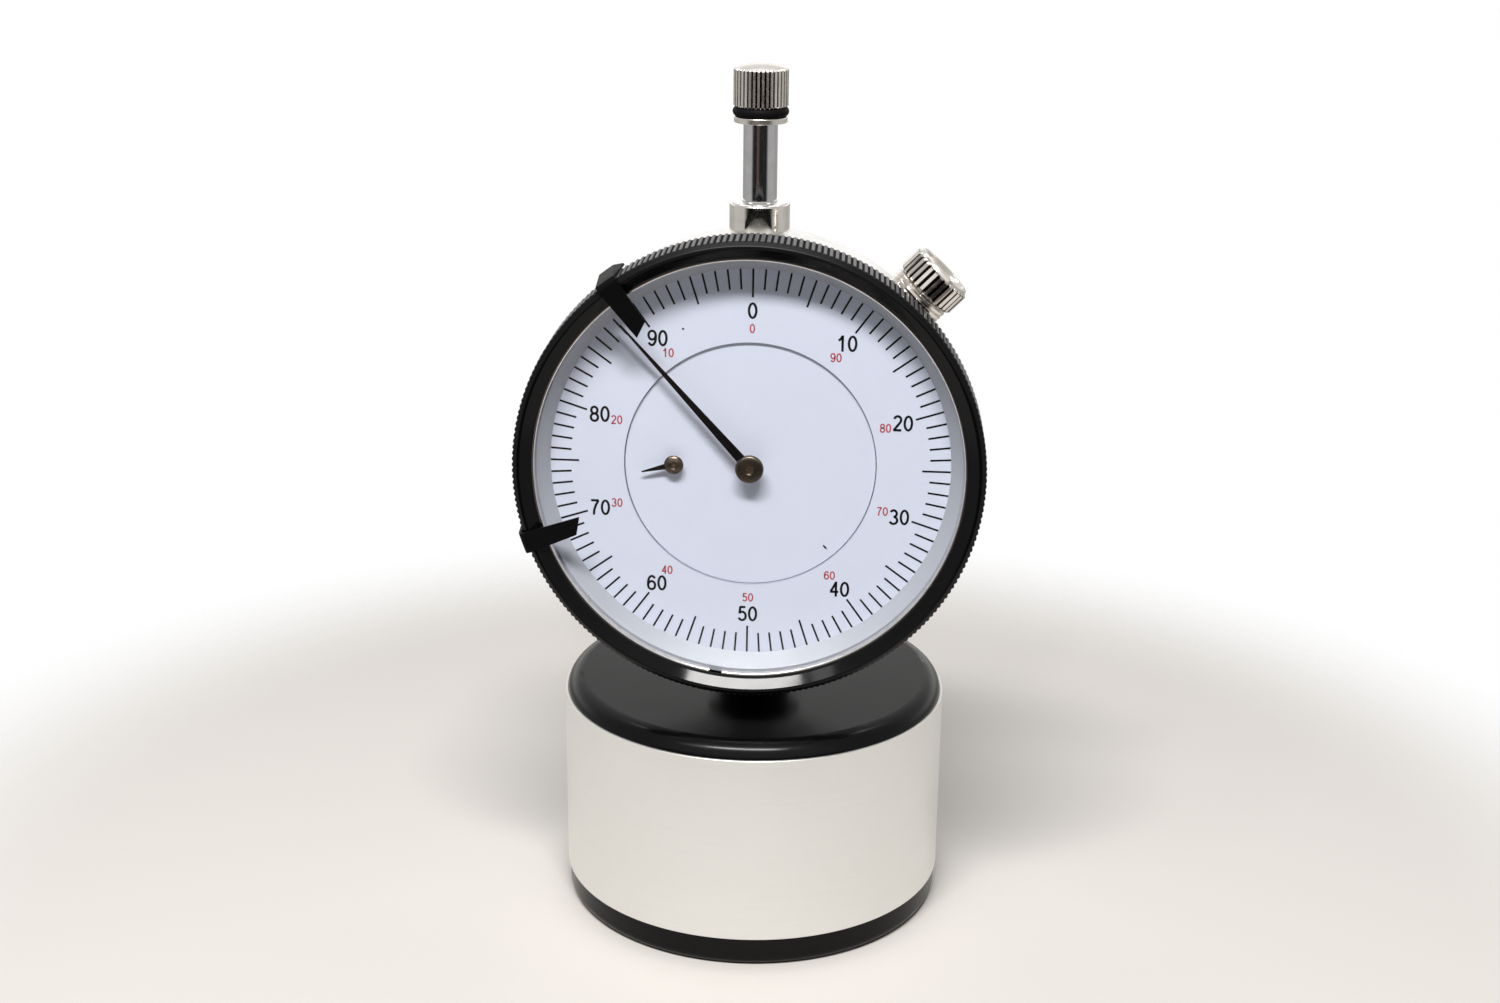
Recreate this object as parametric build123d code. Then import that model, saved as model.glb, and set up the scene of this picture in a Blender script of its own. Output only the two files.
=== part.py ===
from build123d import *
from math import cos, pi, radians, sin, sqrt
import os

# A plunger dial gauge on a heavy round base, for reading the tension of a drum head.
# Sizes are millimetres. The origin is the centre of the base's underside, on the plunger's axis.
# Z is up and the dial faces -Y. A bearing is a clock angle seen from the front: 0 at the top of
# the dial, growing clockwise. A profile is a list of (radius, position along the axis) points.

# Overall places
AXIS_Z = 64.4
RUNNING_FIT = 0.06

# Base, its label band and the screw that grips the stem
BASE_RADIUS = 25.1
BASE_HEIGHT = 30.9
BASE_TOP_ROUND = 2.2
BASE_FOOT_ROUND = 1.2
TIP_BORE_RADIUS = 3.4
LABEL_RADIUS = 25.4
LABEL_BOTTOM = 3.9
LABEL_TOP = 28.9
LABEL_SEAM_WIDTH = 0.4
LABEL_SEAM_BEARING = 35.0
LABEL_WINDOW_RADIUS = 3.0
SET_SCREW_Z = 24.0
SET_SCREW_RADIUS = 2.5
SET_SCREW_LENGTH = 16.0
SET_SCREW_HEX = 2.5
SET_SCREW_HEX_DEPTH = 2.5

# Stem and spindle
STEM_RADIUS = 9.525 / 2
STEM_BOTTOM = 18.5
STEM_TOP = 42.5
SPINDLE_RADIUS = 2.15
SPINDLE_BOTTOM = 9.05
SPINDLE_TOP = 104.06
STUD_RADIUS = 1.4
STUD_TOP = 107.0
TIP_Z = 0.05
TIP_RADIUS = 2.1
TIP_ROUND = 1.2
TIP_STUD_RADIUS = 1.1
TIP_STUD_TOP = 12.0

# Lifting cap on the spindle
CAP_FLANGE_RADIUS = 3.35
CAP_FLANGE_TOP = 104.79
CAP_GROOVE_RADIUS = 2.26
CAP_GROOVE_TOP = 106.05
CAP_RIDGE_TOP = 110.4
CAP_DOME_TOP = 111.25
CAP_RIDGE_TIP = 3.43
CAP_RIDGE_ROOT = 3.2
CAP_RIDGES = 38
O_RING_SECTION = (CAP_GROOVE_TOP - CAP_FLANGE_TOP) / 2

# Case, with the spigot that the bezel turns on
CASE_RADIUS = 26.5
CASE_SHOULDER_Y = -13.9
CASE_STRAIGHT_END_Y = 0.8
CASE_TAPER_END = (25.0, 5.4)
CASE_BACK_Y = 6.5
CASE_BACK_RADIUS = 23.6
CASE_CAVITY_RADIUS = 23.6
CASE_BACK_INSIDE_Y = 3.4
CASE_BACK_OPENING = 17.5
SPIGOT_RADIUS = 25.95
SPIGOT_BORE = 25.1
SPIGOT_FRONT_Y = -16.6
PLATE_LEDGE_Y = -8.6
LUG_BEARINGS = (75.0, 225.0, 315.0)
LUG_PLACE = 21.9
LUG_RADIUS = 2.2
LUG_BACK_Y = -3.0
STEM_BOSS_RADIUS = 6.2
STEM_BOSS_BOTTOM = 36.4

# Back cover and its screws
COVER_RADIUS = 20.95
COVER_SEAT_Y = 5.3
COVER_INSIDE_Y = 4.7
COVER_SCREW_BEARINGS = (45.0, 135.0, 225.0, 315.0)
COVER_SCREW_PLACE = 19.0
COVER_SCREW_HEAD = (1.3, 0.75)
COVER_SCREW_END_Y = 3.9
SMALL_SCREW_RADIUS = 0.8

# Bushings on the case
BUSHING_RADIUS = 3.8
BUSHING_SPIGOT = 3.0
BUSHING_SEAT = 26.2
TOP_BUSHING_TOP = 94.2
TOP_BUSHING_BOTTOM = 86.9
LOCK_BEARING = 44.45
LOCK_Y = -10.0
LOCK_BUSHING_END = 29.45
LOCK_BUSHING_GROOVES = (27.6, 28.2, 28.8)
LOCK_SHANK_RADIUS = 1.5
LOCK_SHANK_END = 24.95
KNOB_START = 29.6
KNOB_RIDGE_END = 32.55
KNOB_END = 33.1
KNOB_RIDGE_TIP = 4.1
KNOB_RIDGE_ROOT = 3.8
KNOB_RIDGES = 30

# Shoe that the lock screw presses, and the foot it presses the bezel with
SHOE_WIDTH = (-1.5, 1.5)
SHOE_FOOT_Y = (-14.9, -14.15)
SHOE_BAR_Y = (-14.9, -8.9)
SHOE_BAR_RADII = (23.9, 24.85)
SHOE_FULCRUM_Y = -12.6
SHOE_FULCRUM_HEIGHT = 0.2

# Bezel and what it carries
BEZEL_CREST_Y = -20.9
BEZEL_BACK_Y = -14.0
BEZEL_WINDOW = 26.45
BEZEL_LIP_Y = -19.8
BEZEL_CONE_START = (26.74, -19.98)
BEZEL_CREST_RADII = (27.83, 28.05)
BEZEL_BORE = SPIGOT_RADIUS + RUNNING_FIT
BEZEL_SKIRT = 27.5
BEZEL_RIDGE_TIP = 28.75
BEZEL_RIDGE_ROOT = 28.58
BEZEL_RIDGE_FRONT_Y = -20.4
BEZEL_RIDGE_BACK_Y = -15.4
BEZEL_RIDGES = 240
CRYSTAL_RADIUS = 26.5
CRYSTAL_FRONT_Y = -18.75
CRYSTAL_BACK_Y = -18.1
CRYSTAL_RING_FRONT_Y = -19.65
CRYSTAL_RING_RADII = (26.15, 26.95)
CRYSTAL_RING_GAP = 1.6
CRYSTAL_RING_GAP_BEARING = 188.5
REHAUT_SEAT_Y = -17.4
SNAP_RING_RADII = (25.55, 26.33)
SNAP_RING_Y = (-15.6, -15.0)
SNAP_RING_GAP = 3.0
GROOVE_ROOM = 0.1

# Dial, in a turning ring and a fixed centre
DIAL_Y = -16.0
DIAL_EDGE = 24.6
DIAL_RING_RADIUS = 24.9
DIAL_RING_HOLE = 15.5
DIAL_THICKNESS = 0.5
CENTRE_DISC_RADIUS = 15.4
CENTRE_DISC_Y = (-15.7, -15.3)
CENTRE_DISC_FEET = ((-9.0, 8.0), (9.0, -8.0))

# Hands
HAND_BEARING = 318.2
HAND_REACH = 23.6
HAND_WIDTHS = (1.25, 0.17)
HAND_Y = (-17.35, -17.15)
HAND_EYE = 1.45
HAND_HUB_RADIUS = 1.75
HAND_HUB_FRONT_Y = -17.95
HAND_HUB_BACK_Y = -16.35
COUNTER_BEARING = 255.8
COUNTER_REACH = 4.1
COUNTER_WIDTHS = (0.9, 0.15)
COUNTER_Y = (-16.5, -16.35)
COUNTER_HUB_RADIUS = 1.2
COUNTER_HUB_FRONT_Y = -16.95
COUNTER_HUB_BACK_Y = -16.05
HAND_NECK = 0.95
HAND_SEAT = 0.42
COUNTER_NECK = 0.65
COUNTER_SEAT = 0.32
HUB_RECESS = 0.25

# Limit markers
MARKER_UPPER_EDGE = 321.4
MARKER_LOWER_EDGE = 254.0
MARKER_SWEEP = 5.25
MARKER_LONG_REACH = 21.45
MARKER_SHORT_REACH = 22.5
MARKER_SHEET = 0.3
MARKER_CREST_Y = -20.95
MARKER_TIP_RISE = 1.0
MARKER_WALL_FRONT = 28.85
MARKER_WALL_BACK = 29.3
MARKER_FOLD = 0.6
MARKER_HOOK_END = 27.95
MARKER_HOOK_Y = -15.3
MARKER_CREASE_SWEEP = 4.1
MARKER_EAR_SWEEP = 6.4
MARKER_EAR_RADIUS = 28.85

# Movement. A module is a pitch diameter divided by the number of teeth.
WHEEL_MODULE = 0.17
WHEEL_TEETH = 100
PINION_TEETH = 10
RACK_PITCH = 0.625
RACK_PINION_TEETH = 16
RACK_LINE = 1.81
TOOTH_THICKNESS = 0.42
RACK_TEETH_FROM = 46.0
RACK_TEETH_TO = 61.0
FRONT_PLATE_Y = (-14.7, -13.7)
FRONT_PLATE_RADIUS = 20.0
MAIN_PLATE_Y = (-9.6, PLATE_LEDGE_Y)
MAIN_PLATE_RADIUS = 24.95
BRIDGE_Y = (2.45, 3.3)
COUNTER_WHEEL_Y = (-12.9, -12.4)
FIRST_WHEEL_Y = (-11.4, -10.9)
CENTRE_PINION_Y = (-13.1, -10.7)
RACK_PINION_Y = (-1.7, 1.7)
PIVOT_RADIUS = 0.35
PIVOT_HOLE = PIVOT_RADIUS + RUNNING_FIT
PIVOT_END_Y = MAIN_PLATE_Y[1] - 0.1
ARBOR_RADIUS = 0.6
COUNTER_ARBOR_RADIUS = 0.5
COUNTER_COLLAR_RADIUS = 1.3
PILLAR_PLACES = (60.0, 150.0, 240.0, 330.0)
PILLAR_CIRCLE = 18.0
PILLAR_RADIUS = 1.5
PILLAR_SCREW_END_Y = -12.5
PLATE_SCREW_RADIUS = 1.0
PLATE_SCREW_END_Y = -5.0
BRIDGE_PILLARS = ((-8.5, -4.5), (-8.5, -13.0))
BRIDGE_PILLAR_RADIUS = 1.1

# Guide of the spindle and its return spring
ARM_X = 6.5
ARM_Z = (73.0, 76.0)
ARM_HALF_DEPTH = 1.2
ARM_COLLAR = 3.1
ARM_PIN_RADIUS = 0.8
ARM_PIN_END_Y = -7.6
RAIL_X = (4.6, 8.4)
RAIL_Z = (69.0, 84.0)
RAIL_Y = (PLATE_LEDGE_Y, -4.2)
RAIL_SLOT_Z = (70.4, 82.6)
SPRING_Y = -2.7
SPRING_POST_Z = 50.0
SPRING_RADII = (0.8, 1.1)
SPRING_BODY_Z = (53.0, 70.4)
SPRING_WAVES = 8
SPRING_WIRE = 0.22
HAIRSPRING_Y = (-10.5, -10.2)
HAIRSPRING_RADII = (1.0, 4.8)
HAIRSPRING_TURNS = 3
HAIRSPRING_WIRE = 0.12
HAIRSPRING_STUD = 0.4

# Places that follow from the sizes above, as (x, height above the dial's axis)
WHEEL_DISTANCE = WHEEL_MODULE * (WHEEL_TEETH + PINION_TEETH) / 2
RACK_PINION_RADIUS = RACK_PITCH * RACK_PINION_TEETH / 2 / pi
FIRST_X = -(RACK_LINE + RACK_PINION_RADIUS)
FIRST_PLACE = (FIRST_X, -sqrt(WHEEL_DISTANCE**2 - FIRST_X**2))
COUNTER_PLACE = (-WHEEL_DISTANCE, 0.0)
CENTRE_PLACE = (0.0, 0.0)
STUD_PLACE = (COUNTER_PLACE[0] - HAIRSPRING_RADII[1] - HAIRSPRING_WIRE - HAIRSPRING_STUD, 0.0)


def outline(points, rounds=None):
    """A closed flat shape; rounds gives the radius of each corner that isn't sharp."""
    radii = [0.0] * len(points)
    for corner, radius in (rounds or {}).items():
        radii[corner] = radius
    return make_face(FilletPolyline(points, radius=radii, close=True))


def turned_z(points, rounds=None):
    """A piece turned about the Z axis, from its profile."""
    return revolve(Plane.XZ * outline(points, rounds), Axis.Z)


def turned_y(points, rounds=None, sweep=360.0):
    """A piece turned about an axis along Y, placed on the dial's axis."""
    return Pos(0, 0, AXIS_Z) * revolve(outline(points, rounds), Axis.Y, sweep)


def ring_y(inner, outer, y_span):
    """A plain ring or disc about the dial's axis."""
    front, back = y_span
    return turned_y([(inner, front), (outer, front), (outer, back), (inner, back)])


def bar_y(place, radius, y_span):
    """A round bar along Y at a place given from the dial's axis."""
    front, back = y_span
    bar = Rot(90, 0, 0) * Cylinder(radius, back - front)
    return Pos(place[0], (front + back) / 2, AXIS_Z + place[1]) * bar


def on_circle(radius, bearing):
    """The (x, height) of a point at a bearing."""
    return (radius * sin(radians(bearing)), radius * cos(radians(bearing)))


def plate_y(face, place, y_span):
    """A flat shape drawn as seen from the front, given a thickness along Y."""
    front, back = y_span
    plane = Plane((place[0], back, AXIS_Z + place[1]), x_dir=(1, 0, 0), z_dir=(0, -1, 0))
    return extrude(plane * face, amount=back - front)


def ridged_face(tip, root, count, phase=0.0):
    """The outline of straight V ridges, or V teeth, round a circle; one tip is at the phase."""
    points = []
    for ridge in range(count):
        bearing = phase + 360.0 * ridge / count
        points.append(on_circle(tip, bearing))
        points.append(on_circle(root, bearing + 180.0 / count))
    return make_face(Polyline(points, close=True))


def tooth_heights(pitch):
    """How far a V tooth stands above and below its pitch line, with a little play."""
    height = 0.682 * pitch
    return TOOTH_THICKNESS * height, (1 - TOOTH_THICKNESS) * height


def gear_face(teeth, pitch_radius, phase):
    """A toothed outline whose tooth is centred at the phase bearing."""
    above, below = tooth_heights(2 * pi * pitch_radius / teeth)
    return ridged_face(pitch_radius + above, pitch_radius - below, teeth, phase)


def meshing_phase(phase, teeth, other_teeth, bearing):
    """The phase of a gear that lies at a bearing from another and meshes with it at rest."""
    fraction = ((bearing - phase) * teeth / 360.0) % 1.0
    return bearing + 180.0 - (0.5 - fraction) * 360.0 / other_teeth


def bearing_of(place):
    """The clock bearing of a place seen from the dial's axis."""
    direction = Vector(place[1], place[0])
    return Vector(1, 0, 0).get_signed_angle(direction, Vector(0, 0, 1)) % 360.0


def radial(bearing, y, piece):
    """Turns a piece built upwards from the dial's axis to a bearing and a depth."""
    return Pos(0, y, AXIS_Z) * Rot(0, bearing, 0) * piece


def upright(radius, z_span):
    """A round bar along Z."""
    low, high = z_span
    return Pos(0, 0, (low + high) / 2) * Cylinder(radius, high - low)


def block(x_span, y_span, z_span):
    """A box between two corners."""
    size = [span[1] - span[0] for span in (x_span, y_span, z_span)]
    middle = [(span[0] + span[1]) / 2 for span in (x_span, y_span, z_span)]
    return Pos(*middle) * Box(*size)


# Base


def set_screw_bar(radius, start, end):
    """A bar along +Y at the set screw's height."""
    return Pos(0, (start + end) / 2, SET_SCREW_Z) * Rot(90, 0, 0) * Cylinder(radius, end - start)


def make_base_weight():
    entry = 0.4
    profile = [
        (TIP_BORE_RADIUS, 0),
        (BASE_RADIUS, 0),
        (BASE_RADIUS, BASE_HEIGHT),
        (STEM_RADIUS + entry, BASE_HEIGHT),
        (STEM_RADIUS, BASE_HEIGHT - entry),
        (STEM_RADIUS, STEM_BOTTOM),
        (TIP_BORE_RADIUS, STEM_BOTTOM),
    ]
    body = turned_z(profile, {1: BASE_FOOT_ROUND, 2: BASE_TOP_ROUND})
    return body - set_screw_bar(SET_SCREW_RADIUS, 0, BASE_RADIUS + 1)


def make_label_band():
    profile = [
        (BASE_RADIUS, LABEL_BOTTOM),
        (LABEL_RADIUS, LABEL_BOTTOM),
        (LABEL_RADIUS, LABEL_TOP),
        (BASE_RADIUS, LABEL_TOP),
    ]
    band = turned_z(profile)
    band -= set_screw_bar(LABEL_WINDOW_RADIUS, BASE_RADIUS / 2, LABEL_RADIUS + 1)
    half_seam = LABEL_SEAM_WIDTH / 2
    seam = block((-half_seam, half_seam), (BASE_RADIUS - 2, LABEL_RADIUS + 1), (0, BASE_HEIGHT))
    return band - Rot(0, 0, LABEL_SEAM_BEARING) * seam


def make_base_set_screw():
    start = STEM_RADIUS
    end = start + SET_SCREW_LENGTH
    screw = set_screw_bar(SET_SCREW_RADIUS, start, end)
    socket = extrude(RegularPolygon(SET_SCREW_HEX / 2, 6, major_radius=False), SET_SCREW_HEX_DEPTH)
    return screw - Pos(0, end, SET_SCREW_Z) * Rot(90, 0, 0) * socket


# Stem, spindle and cap


def make_stem():
    bore = SPINDLE_RADIUS + RUNNING_FIT
    edge = 0.5
    profile = [
        (bore, STEM_BOTTOM),
        (STEM_RADIUS - edge, STEM_BOTTOM),
        (STEM_RADIUS, STEM_BOTTOM + edge),
        (STEM_RADIUS, STEM_TOP),
        (bore, STEM_TOP),
    ]
    return turned_z(profile)


def make_contact_point():
    profile = [
        (0, TIP_Z),
        (TIP_RADIUS, TIP_Z),
        (TIP_RADIUS, SPINDLE_BOTTOM),
        (TIP_STUD_RADIUS, SPINDLE_BOTTOM),
        (TIP_STUD_RADIUS, TIP_STUD_TOP),
        (0, TIP_STUD_TOP),
    ]
    return turned_z(profile, {1: TIP_ROUND})


def rack_comb(phase):
    """The metal taken out of the spindle's left side between its rack teeth."""
    above, below = tooth_heights(RACK_PITCH)
    crest = -(RACK_LINE + above)
    root = -(RACK_LINE - below)
    outside = -2 * SPINDLE_RADIUS
    count = round((RACK_TEETH_TO - RACK_TEETH_FROM) / RACK_PITCH)
    points = [(outside, phase), (crest, phase)]
    for tooth in range(count):
        height = phase + tooth * RACK_PITCH
        points.append((root, height + RACK_PITCH / 2))
        points.append((crest, height + RACK_PITCH))
    points.append((outside, phase + count * RACK_PITCH))
    comb = Plane.XZ * make_face(Polyline(points, close=True))
    return extrude(comb, amount=SPINDLE_RADIUS + 1, both=True)


def make_spindle():
    profile = [
        (0, TIP_STUD_TOP),
        (TIP_STUD_RADIUS, TIP_STUD_TOP),
        (TIP_STUD_RADIUS, SPINDLE_BOTTOM),
        (SPINDLE_RADIUS, SPINDLE_BOTTOM),
        (SPINDLE_RADIUS, SPINDLE_TOP),
        (STUD_RADIUS, SPINDLE_TOP),
        (STUD_RADIUS, STUD_TOP),
        (0, STUD_TOP),
    ]
    # A rack tooth lies half a pitch above the level of the pinion's axis.
    pinion_z = AXIS_Z + FIRST_PLACE[1]
    below = round((pinion_z - RACK_TEETH_FROM) / RACK_PITCH) - 0.5
    return turned_z(profile) - rack_comb(pinion_z - below * RACK_PITCH)


def make_spindle_cap():
    core = CAP_RIDGE_ROOT - 0.02
    rise = CAP_DOME_TOP - CAP_RIDGE_TOP
    dome_radius = (core**2 + rise**2) / (2 * rise)
    dome = RadiusArc((core, CAP_RIDGE_TOP), (0, CAP_DOME_TOP), -dome_radius)
    sides = Polyline(
        (0, CAP_DOME_TOP),
        (0, STUD_TOP),
        (STUD_RADIUS, STUD_TOP),
        (STUD_RADIUS, SPINDLE_TOP),
        (CAP_FLANGE_RADIUS, SPINDLE_TOP),
        (CAP_FLANGE_RADIUS, CAP_FLANGE_TOP),
        (CAP_GROOVE_RADIUS, CAP_FLANGE_TOP),
        (CAP_GROOVE_RADIUS, CAP_GROOVE_TOP),
        (core, CAP_GROOVE_TOP),
        (core, CAP_RIDGE_TOP),
    )
    body = revolve(Plane.XZ * make_face(dome + sides), Axis.Z)
    ridges = ridged_face(CAP_RIDGE_TIP, CAP_RIDGE_ROOT, CAP_RIDGES) - Circle(CAP_GROOVE_RADIUS + 0.4)
    return body + Pos(0, 0, CAP_GROOVE_TOP) * extrude(ridges, CAP_RIDGE_TOP - CAP_GROOVE_TOP)


def make_cap_o_ring():
    """A rubber ring squeezed into the groove, so that only its outer side is round."""
    middle = CAP_GROOVE_RADIUS + O_RING_SECTION
    outer_side = ThreePointArc(
        (middle, CAP_FLANGE_TOP),
        (middle + O_RING_SECTION, CAP_FLANGE_TOP + O_RING_SECTION),
        (middle, CAP_GROOVE_TOP),
    )
    inner_side = Polyline(
        (middle, CAP_GROOVE_TOP),
        (CAP_GROOVE_RADIUS, CAP_GROOVE_TOP),
        (CAP_GROOVE_RADIUS, CAP_FLANGE_TOP),
        (middle, CAP_FLANGE_TOP),
    )
    return revolve(Plane.XZ * make_face(outer_side + inner_side), Axis.Z)


def make_guide_arm():
    """A collar on the spindle with an arm and a pin, which keeps the spindle from turning."""
    low, high = ARM_Z
    tip_x = ARM_X + ARM_HALF_DEPTH
    arm = upright(ARM_COLLAR, ARM_Z)
    arm += block((0, tip_x), (-ARM_HALF_DEPTH, ARM_HALF_DEPTH), ARM_Z)
    arm -= upright(SPINDLE_RADIUS, (low - 1, high + 1))
    middle = (low + high) / 2 - AXIS_Z
    return arm + bar_y((ARM_X, middle), ARM_PIN_RADIUS, (ARM_PIN_END_Y, 0))


# Case and what is fixed to it


def make_case_body():
    front_edge = (25.6, SPIGOT_FRONT_Y)
    profile = [
        front_edge,
        (SPIGOT_RADIUS, SPIGOT_FRONT_Y),
        (SPIGOT_RADIUS, SNAP_RING_Y[0]),
        (SNAP_RING_RADII[0], SNAP_RING_Y[0]),
        (SNAP_RING_RADII[0], SNAP_RING_Y[1]),
        (SPIGOT_RADIUS, SNAP_RING_Y[1]),
        (SPIGOT_RADIUS, CASE_SHOULDER_Y),
        (CASE_RADIUS, CASE_SHOULDER_Y),
        (CASE_RADIUS, CASE_STRAIGHT_END_Y),
        CASE_TAPER_END,
        (CASE_BACK_RADIUS, CASE_BACK_Y),
        (COVER_RADIUS, CASE_BACK_Y),
        (COVER_RADIUS, COVER_SEAT_Y),
        (CASE_BACK_OPENING, COVER_SEAT_Y),
        (CASE_BACK_OPENING, CASE_BACK_INSIDE_Y),
        (CASE_CAVITY_RADIUS, CASE_BACK_INSIDE_Y),
        (CASE_CAVITY_RADIUS, PLATE_LEDGE_Y),
        (SPIGOT_BORE, PLATE_LEDGE_Y),
        (SPIGOT_BORE, SPIGOT_FRONT_Y + 0.7),
    ]
    case = turned_y(profile, {9: 2.5})
    case += upright(STEM_BOSS_RADIUS, (STEM_BOSS_BOTTOM, AXIS_Z - CASE_CAVITY_RADIUS))
    for bearing in LUG_BEARINGS:
        case += bar_y(on_circle(LUG_PLACE, bearing), LUG_RADIUS, (PLATE_LEDGE_Y, LUG_BACK_Y))
        case -= plate_screw_hole(bearing)
    case -= upright(STEM_RADIUS, (STEM_BOSS_BOTTOM - 1, STEM_TOP))
    case -= upright(BUSHING_SPIGOT, (TOP_BUSHING_BOTTOM, TOP_BUSHING_TOP))
    case -= upright(BUSHING_RADIUS, (AXIS_Z + BUSHING_SEAT, TOP_BUSHING_TOP))
    lock_hole = upright(BUSHING_SPIGOT, (CASE_CAVITY_RADIUS, LOCK_BUSHING_END))
    lock_hole += upright(BUSHING_RADIUS, (BUSHING_SEAT, LOCK_BUSHING_END))
    case -= radial(LOCK_BEARING, LOCK_Y, lock_hole)
    window = block(SHOE_WIDTH, SHOE_FOOT_Y, (SPIGOT_BORE - 1, SPIGOT_RADIUS + 1))
    case -= radial(LOCK_BEARING, 0, window)
    for bearing in COVER_SCREW_BEARINGS:
        place = on_circle(COVER_SCREW_PLACE, bearing)
        case -= bar_y(place, SMALL_SCREW_RADIUS, (COVER_SCREW_END_Y, COVER_SEAT_Y))
    return case


def plate_screw_hole(bearing):
    return bar_y(on_circle(LUG_PLACE, bearing), PLATE_SCREW_RADIUS, (PLATE_LEDGE_Y, PLATE_SCREW_END_Y))


def make_bezel_clamp_shoe():
    """A rocker inside the case: the lock screw presses its back, its foot presses the bezel."""
    bar = block(SHOE_WIDTH, SHOE_BAR_Y, SHOE_BAR_RADII)
    low = SHOE_BAR_RADII[0]
    foot = block(SHOE_WIDTH, SHOE_FOOT_Y, (low, SPIGOT_RADIUS - 0.05))
    middle = Pos(0, SHOE_FULCRUM_Y, SPIGOT_BORE - SHOE_FULCRUM_HEIGHT)
    fulcrum = middle * Rot(0, 90, 0) * Cylinder(SHOE_FULCRUM_HEIGHT, SHOE_WIDTH[1] * 2)
    return radial(LOCK_BEARING, 0, bar + foot + fulcrum)


def bushing_profile(shaft, bottom, seat, top):
    """The section of a flanged bushing that a shaft of the given radius runs in."""
    bore = shaft + RUNNING_FIT
    edge = 0.25
    return [
        (bore, bottom),
        (BUSHING_SPIGOT, bottom),
        (BUSHING_SPIGOT, seat),
        (BUSHING_RADIUS, seat),
        (BUSHING_RADIUS, top - edge),
        (BUSHING_RADIUS - edge, top),
        (bore + edge, top),
        (bore, top - edge),
    ]


def make_top_bushing():
    seat = AXIS_Z + BUSHING_SEAT
    return turned_z(bushing_profile(SPINDLE_RADIUS, TOP_BUSHING_BOTTOM, seat, TOP_BUSHING_TOP))


def make_lock_bushing():
    bushing = turned_z(bushing_profile(LOCK_SHANK_RADIUS, SPIGOT_BORE, BUSHING_SEAT, LOCK_BUSHING_END))
    depth = 0.15
    for height in LOCK_BUSHING_GROOVES:
        groove = [(BUSHING_RADIUS - depth, height)]
        groove += [(BUSHING_RADIUS + depth, height - 2 * depth), (BUSHING_RADIUS + depth, height + 2 * depth)]
        bushing -= turned_z(groove)
    return radial(LOCK_BEARING, LOCK_Y, bushing)


def make_lock_screw():
    tip_radius = 0.8
    dish_radius = 3.1
    dish_depth = 0.35
    core = KNOB_RIDGE_ROOT - 0.02
    rim = 3.65
    profile = [
        (0, LOCK_SHANK_END),
        (tip_radius, LOCK_SHANK_END),
        (LOCK_SHANK_RADIUS, LOCK_SHANK_END + tip_radius),
        (LOCK_SHANK_RADIUS, KNOB_START),
        (core, KNOB_START),
        (core, KNOB_RIDGE_END + 0.1),
        (rim, KNOB_END),
        (dish_radius, KNOB_END),
        (dish_radius - dish_depth, KNOB_END - dish_depth),
        (0, KNOB_END - dish_depth),
    ]
    screw = turned_z(profile)
    ridges = ridged_face(KNOB_RIDGE_TIP, KNOB_RIDGE_ROOT, KNOB_RIDGES) - Circle(dish_radius)
    length = KNOB_RIDGE_END - KNOB_START
    screw += Pos(0, 0, KNOB_START) * extrude(ridges, length)
    return radial(LOCK_BEARING, LOCK_Y, screw)


def make_back_cover():
    edge = 0.4
    profile = [
        (0, COVER_INSIDE_Y),
        (CASE_BACK_OPENING, COVER_INSIDE_Y),
        (CASE_BACK_OPENING, COVER_SEAT_Y),
        (COVER_RADIUS, COVER_SEAT_Y),
        (COVER_RADIUS, CASE_BACK_Y - edge),
        (COVER_RADIUS - edge, CASE_BACK_Y),
        (0, CASE_BACK_Y),
    ]
    cover = turned_y(profile)
    head_radius, head_height = COVER_SCREW_HEAD
    for bearing in COVER_SCREW_BEARINGS:
        place = on_circle(COVER_SCREW_PLACE, bearing)
        cover -= bar_y(place, SMALL_SCREW_RADIUS, (COVER_INSIDE_Y, CASE_BACK_Y))
        cover -= bar_y(place, head_radius, (CASE_BACK_Y - head_height, CASE_BACK_Y))
    return cover


def make_back_cover_screws():
    head_radius, head_height = COVER_SCREW_HEAD
    head_y = CASE_BACK_Y - head_height
    slot_half = 0.2
    slot_depth = 0.35
    screws = []
    for bearing in COVER_SCREW_BEARINGS:
        place = on_circle(COVER_SCREW_PLACE, bearing)
        screw = bar_y(place, head_radius, (head_y, CASE_BACK_Y))
        screw += bar_y(place, SMALL_SCREW_RADIUS, (COVER_SCREW_END_Y, head_y))
        slot = block((-slot_half, slot_half), (CASE_BACK_Y - slot_depth, CASE_BACK_Y), (-2, 2))
        screws.append(screw - Pos(place[0], 0, AXIS_Z + place[1]) * Rot(0, bearing, 0) * slot)
    return screws


# Bezel


def gap_at(bearing, width, y_span):
    """A radial slot cut through a ring at a bearing."""
    return radial(bearing, 0, block((-width / 2, width / 2), y_span, (BEZEL_BORE - 2, BEZEL_BORE + 2)))


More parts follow.
